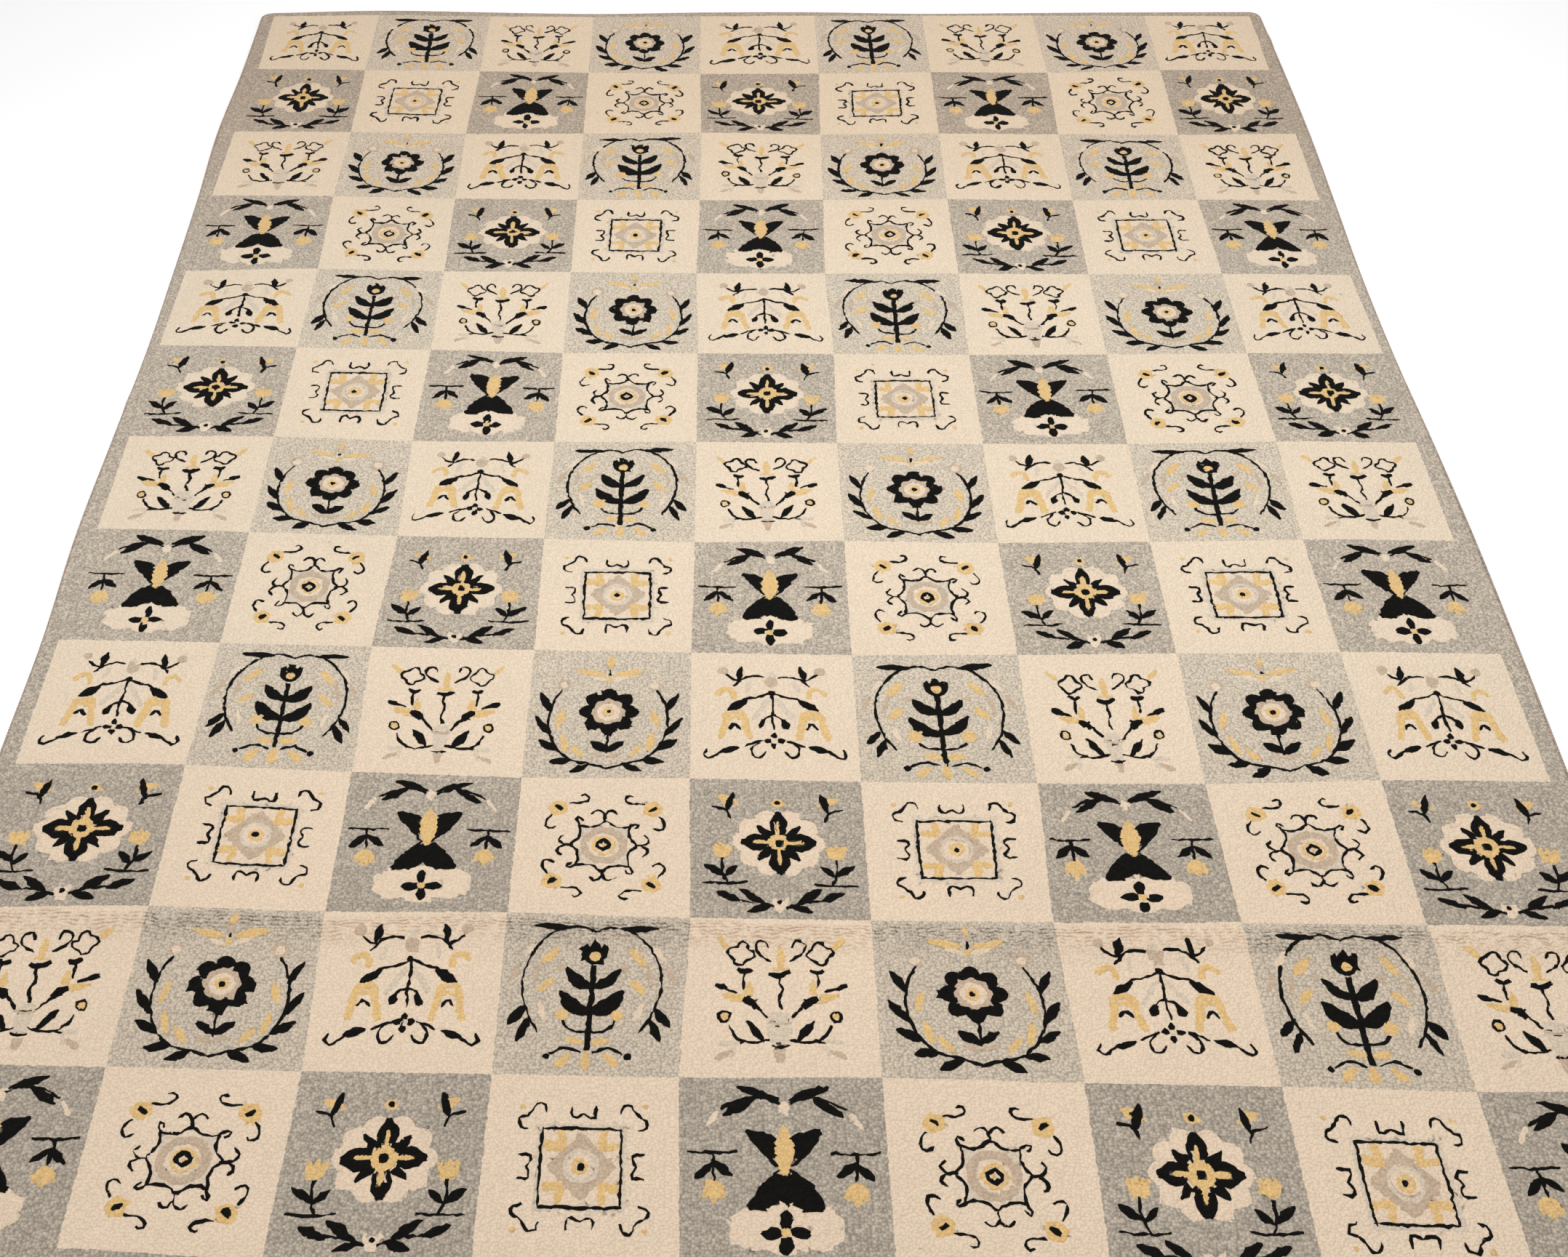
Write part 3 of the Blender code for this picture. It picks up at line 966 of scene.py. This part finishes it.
def lift(x, y):
    """How high the folds lift the cloth off the floor at places on it."""
    height = smooth_value(FOLD_HEIGHTS, x / SQUARE, FOLD_COLUMNS) * MM
    crest = -smooth_value(FOLD_ROWS, x / SQUARE, FOLD_COLUMNS) * SQUARE
    total = height * bump(y - crest, LONG_FOLD_HALF_WIDTH)
    for crease in CREASES:
        start = np.array((crease.from_column, -crease.from_row)) * SQUARE
        run = np.array((crease.to_column, -crease.to_row)) * SQUARE - start
        share = np.clip(((x - start[0]) * run[0] + (y - start[1]) * run[1]) / (run @ run), 0, 1)
        away = np.hypot(x - start[0] - share * run[0], y - start[1] - share * run[1])
        total = np.maximum(total, crease.height_mm * MM * bump(away, crease.half_width_mm * MM))
    return total


def outline_middle(steps=1201):
    """The middle of the rug's box, counted from the left end of the far row line."""
    share = np.linspace(0, 1, steps)
    left, right = (flat_position(np.full(steps, column), share * ROWS) for column in (-1.0, COLUMNS + 1.0))
    far, near = (flat_position(share * COLUMNS, np.full(steps, row)) for row in (-1.0, ROWS + 1.0))
    return (left[0].min() + right[0].max()) / 2, (near[1].min() + far[1].max()) / 2


MIDDLE = ((cad_box[0][0] + cad_box[1][0]) / 2, (cad_box[0][1] + cad_box[1][1]) / 2)
OFFSET = np.subtract(MIDDLE, outline_middle())


def place(column, row):
    """Places in the frame of grid places, without height."""
    x, y = flat_position(column, row)
    return x + OFFSET[0], y + OFFSET[1]


def height_of_lift(x, y):
    return lift(x - OFFSET[0], y - OFFSET[1])


# ---------------------------------------------------------------- all the loops

def seam_line(random, squares):
    """How far the corners of the loops stray over a line between squares: a fine comb, at rest where the
    lines cross."""
    count = squares * LOOPS_A_SQUARE + 1
    comb = COMB * (-1.0) ** np.arange(count) + random.normal(0, COMB_STRAY, count)
    comb[::LOOPS_A_SQUARE] = 0
    return comb.clip(-COMB_MOST, COMB_MOST) * PITCH


def strip(columns, rows, random, seams=(0, 0, 0, 0)):
    """Plain dark loops of a border."""
    x, y = np.meshgrid(columns, rows)
    step = np.array([np.abs(np.diff(columns)).mean(), np.abs(np.diff(rows)).mean()])
    inner = np.zeros(x.shape)
    inner[1:-1, 1:-1] = 1
    x = x + random.normal(0, BORDER_STRAY, x.shape) * step[0] * inner
    y = y + random.normal(0, BORDER_STRAY, x.shape) * step[1] * inner
    corners = tiles_between(x, y, seams)
    turned = np.full(len(corners), len(rows) > len(columns))
    return Loops(corners, np.full(len(corners), DARK), turned, np.zeros(len(corners)))


def border_loops(seam_columns, seam_rows, random):
    left = np.linspace(-1, 0, LOOPS_LEFT + 1)
    right = np.linspace(COLUMNS, COLUMNS + 1, LOOPS_RIGHT + 1)
    far = np.linspace(-1, 0, LOOPS_END + 1)
    near = np.linspace(ROWS, ROWS + 1, LOOPS_END + 1)
    across = np.linspace(0, COLUMNS, COLUMNS * LOOPS_A_SQUARE + 1)
    along = np.linspace(0, ROWS, ROWS * LOOPS_A_SQUARE + 1)
    return [
        strip(left, along, random, (0, 0, 0, seam_columns[0])),
        strip(right, along, random, (0, 0, seam_columns[-1], 0)),
        strip(across, far, random, (0, seam_rows[0], 0, 0)),
        strip(across, near, random, (seam_rows[-1], 0, 0, 0)),
        *(strip(side, end, random) for end in (far, near) for side in (left, right)),
    ]


def all_loops():
    random = np.random.default_rng(SEED + 1)
    seam_rows = [seam_line(random, COLUMNS) for _ in range(ROWS + 1)]
    seam_columns = [seam_line(random, ROWS) for _ in range(COLUMNS + 1)]
    sets = border_loops(seam_columns, seam_rows, random)
    for row in range(ROWS):
        for column in range(COLUMNS):
            across, along = (slice(k * LOOPS_A_SQUARE, (k + 1) * LOOPS_A_SQUARE + 1) for k in (column, row))
            seams = (seam_rows[row][across], seam_rows[row + 1][across],
                     seam_columns[column][along], seam_columns[column + 1][along])
            figure = FIGURES[REPEAT[row % 4][column % 4]]
            made = square_loops(figure, seams, random)
            spots = sway(made.corners, random) + np.array([column, row])
            sets.append(made._replace(corners=spots))
    return joined(sets)


def turning(flat):
    """Twice the area of each loop seen from above, negative if its corners go round clockwise."""
    one, other = flat[:, 2] - flat[:, 0], flat[:, 3] - flat[:, 1]
    return one[:, 0] * other[:, 1] - one[:, 1] * other[:, 0]


def ripples(columns, rows):
    """How far the rows of loops gape at grid places near the long fold, from 0 to 1, in short dashes."""
    past, dashes = rows - OPEN_ROW, 0.0
    for size, rate, start in WAVER:
        past = past + size * np.sin(columns * rate + start)
    for size, across, along, start in DASHES:
        dashes = dashes + size * np.sin(columns * across + rows * along + start)
    rise = np.clip((past - OPEN_FROM) / (OPEN_MOST - OPEN_FROM), 0, 1)
    fall = np.clip((OPEN_TO - past) / (OPEN_TO - OPEN_MOST), 0, 1)
    return rise * fall**OPEN_FALL * np.clip(DASH_LEVEL + DASH_CONTRAST * dashes, 0, 1)


def shape_loops(loops, random):
    """Points of the loops, four corners in the valleys and a crown for each, their places across the row
    of loops, how far the rows gape there, and the loops' yarns and blocks."""
    columns, rows = loops.corners[..., 0], loops.corners[..., 1]
    x, y = place(columns.ravel(), rows.ravel())
    flat = np.column_stack([x, y]).reshape(-1, 4, 2)
    keep = np.abs(turning(flat)) / 2 >= SMALLEST_LOOP * (PITCH * SQUARE) ** 2
    flat, columns, rows, loops = flat[keep], columns[keep], rows[keep], chosen_of(loops, keep)
    count = len(flat)
    in_stroke = loops.press < 0
    lifted = np.where(in_stroke, -loops.press, 0)
    gape = ripples(columns, rows) * ~in_stroke[:, None]
    turned = loops.turned & (gape.mean(axis=1) < CLOSED_BELOW)

    # Corners that meet get the same height, so the ground has no cracks.
    rim = np.maximum.reduce([-columns, columns - COLUMNS, -rows, rows - ROWS]) > 1 - 1e-6
    across, bent, bends, along = VALLEY_RATES
    uneven = VALLEY_UNEVEN * np.sin(flat[..., 0] * across + bent * np.sin(flat[..., 1] * bends))
    low = TOP - VALLEY + uneven * np.sin(flat[..., 1] * along) - GAPE_DEPTH * gape
    edge_of_stroke = TOP + STROKE_RISE * lifted - STROKE_VALLEY
    low = np.where(in_stroke[:, None], edge_of_stroke[:, None], low)
    points = np.empty((count, 5, 3))
    points[:, :4, :2] = flat
    points[:, :4, 2] = np.where(rim, RIM_FOOT, low)
    points[:, 4, :2] = flat.mean(axis=1) + random.normal(0, CROWN_STRAY, (count, 2))
    crown = TOP + random.normal(0, CROWN_UNEVEN, count).clip(-CROWN_MOST, CROWN_MOST)
    crown = crown + STROKE_RISE * lifted - PRESS_DEPTH * loops.press.clip(0, 1) - RIM_DROP * rim.any(axis=1)
    points[:, 4, 2] = crown
    points[..., 2] += height_of_lift(points[..., 0].ravel(), points[..., 1].ravel()).reshape(count, 5)
    across_row = np.where(turned[:, None], (0, 1, 1, 0, 0.5), (0, 0, 1, 1, 0.5))
    gape = np.column_stack([gape, gape.mean(axis=1)])

    # Corners go round anticlockwise seen from above, so the faces look up.
    clockwise = turning(flat) < 0
    for values in (points, across_row, gape):
        values[clockwise] = values[clockwise][:, [3, 2, 1, 0, 4]]
    blocks_wide, blocks_deep = COLUMNS // BLOCK_COLUMNS, ROWS // BLOCK_ROWS
    block = (np.clip(columns.mean(axis=1) // BLOCK_COLUMNS, 0, blocks_wide - 1)
             + blocks_wide * np.clip(rows.mean(axis=1) // BLOCK_ROWS, 0, blocks_deep - 1)).astype(int)
    return points, across_row, gape, loops.yarn, block


def put(target, key, values, kind=np.float32):
    target.foreach_set(key, np.asarray(values).reshape(-1).astype(kind))


def linked(name, data):
    item = bpy.data.objects.new(name, data)
    bpy.context.collection.objects.link(item)
    return item


def block_mesh(name, points, across_row, gape, yarn, materials):
    """One block of pile: four triangles a loop. Loops that meet share their corners, so the pile is one
    soft surface."""
    count = len(points)
    points = points.reshape(-1, 3)
    keys = np.round(points / MERGE_WITHIN).astype(np.int64) + 2**20
    keys = (keys[:, 0] * 2**21 + keys[:, 1]) * 2**21 + keys[:, 2]
    _, first, shared = np.unique(keys, return_index=True, return_inverse=True)
    domed = np.array([[0, 1, 4], [1, 2, 4], [2, 3, 4], [3, 0, 4]])
    corners = (np.arange(count)[:, None, None] * 5 + domed).reshape(-1)
    data = bpy.data.meshes.new(name)
    data.vertices.add(len(first))
    put(data.vertices, "co", points[first])
    data.loops.add(len(corners))
    put(data.loops, "vertex_index", shared.reshape(-1)[corners], np.int32)
    data.polygons.add(count * 4)
    put(data.polygons, "loop_start", np.arange(0, len(corners), 3), np.int32)
    for material in materials:
        data.materials.append(material)
    put(data.polygons, "material_index", np.repeat(yarn, 4), np.int32)
    put(data.polygons, "use_smooth", np.ones(count * 4), bool)
    for key, values in (("across_row", across_row), ("gaping", gape)):
        put(data.attributes.new(key, "FLOAT", "CORNER").data, "value", values.reshape(-1)[corners])
    flat = points[:, :2]
    low, size = flat.min(axis=0), (flat.max(axis=0) - flat.min(axis=0)).max()
    seen_from_above = (0.002 + 0.996 * (flat - low) / size)[corners]
    put(data.uv_layers.new(name="OFBake").data, "uv", seen_from_above)
    data.update()
    data.validate()
    return linked(name, data)


# ---------------------------------------------------------------- the stitched rim and the backing

def rim_stitches(material):
    """Wool overcast round the rug's rim, on a line through the rim's four sides."""
    side, end = np.linspace(-1, ROWS + 1, RIM_POINTS), np.linspace(-1, COLUMNS + 1, RIM_POINTS)
    low, right, near = (np.full(RIM_POINTS, value) for value in (-1.0, COLUMNS + 1.0, ROWS + 1.0))
    x, y = place(np.concatenate([end, right, end[::-1], low]), np.concatenate([low, side, near, side[::-1]]))
    run = np.concatenate([[0.0], np.cumsum(np.hypot(np.diff(x), np.diff(y)))])
    count, steps = 2 * RIM_STITCHES, len(RIM_LINE)
    at = np.arange(count) / count * run[-1]
    path = np.column_stack([np.interp(at, run, x), np.interp(at, run, y)])
    out = across_line(np.roll(path, -2, axis=0) - np.roll(path, 2, axis=0))
    low = BETWEEN_STITCHES * (np.arange(count) % 2)
    floor_height = height_of_lift(path[:, 0], path[:, 1])
    points = np.empty((count, steps, 3))
    for k, (reach, height) in enumerate(RIM_LINE):
        points[:, k, :2] = path + out * (reach * MM - low * (k > 1))[:, None]
        points[:, k, 2] = floor_height + height * MM - low * (0 < k < 3)
    i, k = (values.ravel() for values in np.meshgrid(np.arange(count), np.arange(steps - 1), indexing="ij"))
    after = (i + 1) % count
    faces = np.column_stack([i * steps + k, i * steps + k + 1, after * steps + k + 1, after * steps + k])
    data = bpy.data.meshes.new("rug_rim")
    data.from_pydata(points.reshape(-1, 3).tolist(), [], faces.tolist())
    data.shade_smooth()
    data.materials.append(material)
    a_strip = count // BAKE_STRIPS
    u = np.stack([i % a_strip, i % a_strip, i % a_strip + 1, i % a_strip + 1], axis=1) / a_strip
    v = np.stack([k, k + 1, k + 1, k], axis=1) / (steps - 1) * 0.9 + (i // a_strip)[:, None] + 0.05
    flat = np.stack([u * 0.998 + 0.001, v / BAKE_STRIPS], axis=2)
    put(data.uv_layers.new(name="OFBake").data, "uv", flat)
    return linked("rug_rim", data)


def backing_mesh(material):
    """The woven cloth under the pile: one closed sheet that follows the folds."""
    inner, rim = BACKING_RIM
    columns = [k / LINES_A_SQUARE for k in range(COLUMNS * LINES_A_SQUARE + 1)]
    columns = [-rim, -inner, *columns, COLUMNS + inner, COLUMNS + rim]
    rows = [k / LINES_A_SQUARE for k in range(ROWS * LINES_A_SQUARE + 1)]
    rows = [row for row in rows if abs(row - FOLD_ROW) > FOLD_REACH]
    rows += list(np.arange(FOLD_ROW - FOLD_REACH, FOLD_ROW + FOLD_REACH + 0.01, FOLD_LINE_STEP))
    rows = [-rim, -inner, *sorted(rows), ROWS + inner, ROWS + rim]
    u, v = np.meshgrid(columns, rows)
    x, y = place(u.ravel(), v.ravel())
    z = height_of_lift(x, y)
    mesh = bmesh.new()
    lower = [mesh.verts.new(spot) for spot in zip(x, y, z)]
    upper = [mesh.verts.new(spot) for spot in zip(x, y, z + BACKING)]
    wide, deep = len(columns), len(rows)
    for j in range(deep - 1):
        for i in range(wide - 1):
            k = j * wide + i
            mesh.faces.new([lower[n] for n in (k, k + 1, k + wide + 1, k + wide)])
            mesh.faces.new([upper[n] for n in (k, k + wide, k + wide + 1, k + 1)])
    edge = list(range(wide)) + [j * wide + wide - 1 for j in range(1, deep)]
    edge += [(deep - 1) * wide + i for i in range(wide - 2, -1, -1)]
    edge += [j * wide for j in range(deep - 2, 0, -1)]
    for a, b in zip(edge, edge[1:] + edge[:1]):
        mesh.faces.new([lower[a], lower[b], upper[b], upper[a]])
    bmesh.ops.recalc_face_normals(mesh, faces=mesh.faces[:])
    data = bpy.data.meshes.new("rug_backing")
    mesh.to_mesh(data)
    mesh.free()
    data.shade_smooth()
    data.materials.append(material)
    past_squares = np.maximum.reduce([-u, u - COLUMNS, -v, v - ROWS]).clip(0, 1).ravel()
    put(data.attributes.new("hem", "FLOAT", "POINT").data, "value", np.tile(past_squares, 2))
    return linked("rug_backing", data)


# ---------------------------------------------------------------- materials

class Nodes:
    """A short way to write a material's nodes: each call makes one and returns its output."""

    def __init__(self, name):
        self.material = bpy.data.materials.new(name)
        self.material.use_nodes = True
        self.tree = self.material.node_tree
        self.shader = self.tree.nodes["Principled BSDF"]

    def add(self, kind, settings=(), inputs=()):
        node = self.tree.nodes.new(kind)
        for key, value in dict(settings).items():
            setattr(node, key, value)
        for key, value in dict(inputs).items():
            self.feed(node.inputs[key], value)
        return node

    def feed(self, socket, value):
        if isinstance(value, bpy.types.NodeSocket):
            self.tree.links.new(value, socket)
        else:
            socket.default_value = value

    def math(self, operation, a, b=0.0, clamp=False):
        settings = {"operation": operation, "use_clamp": clamp}
        return self.add("ShaderNodeMath", settings, {0: a, 1: b}).outputs[0]

    def total(self, first, *parts):
        """A value with others added to it, each times a factor."""
        for value, factor in parts:
            first = self.math("ADD", first, self.math("MULTIPLY", value, factor))
        return first

    def off(self, value, middle):
        """How far a value is from a middle one."""
        return self.math("ABSOLUTE", self.math("SUBTRACT", value, middle))

    def ramp(self, value, low, high, to_low=0.0, to_high=1.0):
        inputs = {"Value": value, "From Min": low, "From Max": high, "To Min": to_low, "To Max": to_high}
        node = self.add("ShaderNodeMapRange", {"interpolation_type": "SMOOTHSTEP"}, inputs)
        return node.outputs["Result"]

    def mix(self, share, a, b, blend="MIX"):
        settings = {"data_type": "RGBA", "blend_type": blend}
        return self.add("ShaderNodeMix", settings, {0: share, 6: a, 7: b}).outputs[2]

    def noise(self, spot, scale, detail=2.0, roughness=0.5):
        inputs = {"Vector": spot, "Scale": scale, "Detail": detail, "Roughness": roughness}
        return self.add("ShaderNodeTexNoise", {}, inputs).outputs[0]

    def attribute(self, name):
        return self.add("ShaderNodeAttribute", {"attribute_name": name}).outputs["Fac"]

    def object_place(self):
        """The place in the frame, and its three parts."""
        spot = self.add("ShaderNodeTexCoord").outputs["Object"]
        return spot, self.add("ShaderNodeSeparateXYZ", {}, {0: spot}).outputs

    def finish(self, colour, factor, plain, roughness, relief, bump_settings):
        """Joins the colour times a factor, the roughness and the relief to the shader, and returns the
        material. plain is the colour where nodes aren't read."""
        inputs = {0: colour, "Scale": factor}
        colour = self.add("ShaderNodeVectorMath", {"operation": "SCALE"}, inputs).outputs[0]
        self.feed(self.shader.inputs["Base Color"], colour)
        self.shader.inputs["Base Color"].default_value = solid(plain)
        self.feed(self.shader.inputs["Roughness"], roughness)
        relief = self.add("ShaderNodeBump", {}, {**bump_settings, "Height": relief})
        self.feed(self.shader.inputs["Normal"], relief.outputs[0])
        return self.material


def solid(colour):
    return (*colour, 1.0)


def make_yarn(yarn):
    """Wool yarn: soft round loops side by side, with shaded feet, fine plies and uneven dye."""
    n = Nodes(yarn.name)
    spot, (_, along, _) = n.object_place()
    inputs = {"Vector": spot, "Scale": LOOPS_A_METRE, "Randomness": LOOPS_UNEVEN}
    loops = n.add("ShaderNodeTexVoronoi", {"voronoi_dimensions": "2D"}, inputs).outputs
    valley = n.ramp(loops["Distance"], VALLEY_FROM, VALLEY_TO)
    own = n.add("ShaderNodeSeparateColor", {}, {0: loops["Color"]}).outputs[0]
    off_row = n.math("MULTIPLY", n.off(n.attribute("across_row"), 0.5), 2.0)
    row_edge = n.math("POWER", off_row, ROW_EDGE_POWER)
    # Painted shade: the valleys between the fine loops, and the row edges where the rows gape, darken
    # towards the foot colour.
    gap = n.math("MULTIPLY", valley, yarn.gap)
    gap = n.math("ADD", gap, n.math("MULTIPLY", row_edge, n.attribute("gaping")), clamp=True)
    colour = n.mix(gap, solid(yarn.colour), solid(yarn.foot))
    own = n.math("SUBTRACT", n.math("POWER", own, OWN_DYE_POWER), OWN_DYE_MEAN)
    dye = n.math("MULTIPLY", own, yarn.mottle)
    for layer in DYES:
        noise = n.noise(spot, layer.scale, layer.detail, layer.roughness)
        contrast = layer.plain + layer.mottled * yarn.mottle
        dye = n.total(dye, (n.math("SUBTRACT", noise, 0.5), contrast))
    fibre = noise
    # Painted shade: the colour darkens towards the rug's far and near ends.
    colour = n.mix(n.ramp(along, *FAR_END_SHADE), colour, solid(yarn.far), "MULTIPLY")
    colour = n.mix(n.ramp(along, *NEAR_END_SHADE), colour, solid(yarn.near), "MULTIPLY")
    n.shader.inputs["Sheen Weight"].default_value = yarn.sheen
    n.shader.inputs["Sheen Roughness"].default_value = SHEEN_ROUGHNESS
    n.shader.inputs["Specular IOR Level"].default_value = SHINE_OF_SHEEN * yarn.sheen
    relief = n.total(n.math("MULTIPLY", valley, -1.0), (fibre, FIBRE_RELIEF))
    roughness = n.ramp(fibre, *NOISE_RANGE, *YARN_ROUGHNESS)
    return n.finish(colour, n.math("ADD", dye, 1.0), yarn.colour, roughness, relief, YARN_BUMP)


def make_backing():
    """Plain-woven cotton, aged to the colour of straw. A thin shadow is painted along the raw edge of its
    turned-in hem, and a running stitch holds it."""
    n = Nodes("cotton_cloth")
    spot, (across, along, _) = n.object_place()
    warp, weft = (n.math("SINE", n.math("MULTIPLY", part, THREADS)) for part in (across, along))
    weave = n.math("MULTIPLY", warp, weft)
    slub, stain = n.noise(spot, *SLUBS), n.noise(spot, *STAINS)
    colour = n.mix(n.ramp(stain, *STAINED), solid(COTTON), solid(STAINED_COTTON))
    hem = n.attribute("hem")
    turned_in = n.ramp(hem, HEM_EDGE, HEM_EDGE + HEM_THIN)
    # Painted shadow along the raw edge of the hem.
    shadow = n.ramp(n.off(hem, HEM_EDGE), HEM_WIDE, 0.0)
    run = n.math("SINE", n.math("MULTIPLY", n.math("ADD", across, along), HEM_STITCHES * 2 * math.pi))
    stitch = n.ramp(n.off(hem, HEM_SEAM), HEM_WIDE, HEM_THIN)
    stitch = n.math("MULTIPLY", stitch, n.ramp(run, 0.0, 0.3))
    level = n.total(n.math("MULTIPLY", weave, IN_WEAVE), (slub, IN_SLUBS), (turned_in, IN_HEM),
                    (shadow, IN_SHADOW), (stitch, IN_STITCH))
    roughness = n.ramp(slub, *NOISE_RANGE, *CLOTH_ROUGHNESS)
    relief = n.math("ADD", weave, slub)
    return n.finish(colour, n.math("ADD", level, CLOTH_LEVEL), EVEN_COTTON, roughness, relief, CLOTH_BUMP)


# ---------------------------------------------------------------- floor, light and camera

def make_floor():
    data = bpy.data.meshes.new("floor")
    corners = [(a * FLOOR_HALF, b * FLOOR_HALF, 0.0) for a, b in ((-1, -1), (1, -1), (1, 1), (-1, 1))]
    data.from_pydata(corners, [], [(0, 1, 2, 3)])
    n = Nodes("pale_floor")
    n.shader.inputs["Base Color"].default_value = solid(FLOOR_COLOUR)
    n.shader.inputs["Roughness"].default_value = FLOOR_ROUGHNESS
    data.materials.append(n.material)
    linked("floor", data)


def make_light():
    world = bpy.data.worlds.new("room")
    world.use_nodes = True
    inputs = world.node_tree.nodes["Background"].inputs
    inputs["Color"].default_value = solid(WHITE)
    inputs["Strength"].default_value = ROOM_LIGHT
    bpy.context.scene.world = world
    for lamp in LAMPS:
        data = bpy.data.lights.new(lamp.name, "AREA")
        data.size = lamp.size
        data.energy = lamp.power
        item = linked(lamp.name, data)
        item.location = lamp.place
        item.rotation_euler = (Vector(lamp.aim) - Vector(lamp.place)).to_track_quat("-Z", "Y").to_euler()
    bpy.context.scene.view_settings.view_transform = "Standard"


def make_camera():
    lens = bpy.data.cameras.new("camera")
    lens.lens = CAMERA_LENS
    lens.sensor_width = CAMERA_SENSOR
    lens.shift_x, lens.shift_y = CAMERA_SHIFT
    down, left = math.radians(CAMERA_DOWN), math.radians(CAMERA_LEFT)
    ahead = Vector((-math.sin(left) * math.cos(down), math.cos(left) * math.cos(down), -math.sin(down)))
    camera = linked("camera", lens)
    camera.location = CAMERA_PLACE
    roll = Matrix.Rotation(math.radians(CAMERA_ROLL), 3, "Z")
    camera.rotation_euler = (ahead.to_track_quat("-Z", "Y").to_matrix() @ roll).to_euler()
    bpy.context.scene.camera = camera


# ---------------------------------------------------------------- putting it together

make_camera()
make_light()
make_floor()

yarns = [make_yarn(yarn) for yarn in YARNS]
*shaped, block_of = shape_loops(all_loops(), np.random.default_rng(SEED + 2))
pile = []
for number in range(block_of.max() + 1):
    chosen = block_of == number
    pile.append(block_mesh(f"pile_{number + 1:02d}", *(values[chosen] for values in shaped), yarns))
pile.append(rim_stitches(yarns[BROWN]))
backing = backing_mesh(make_backing())

for piece in [backing, *pile]:
    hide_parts("hooked_rug")
    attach(piece, "root")
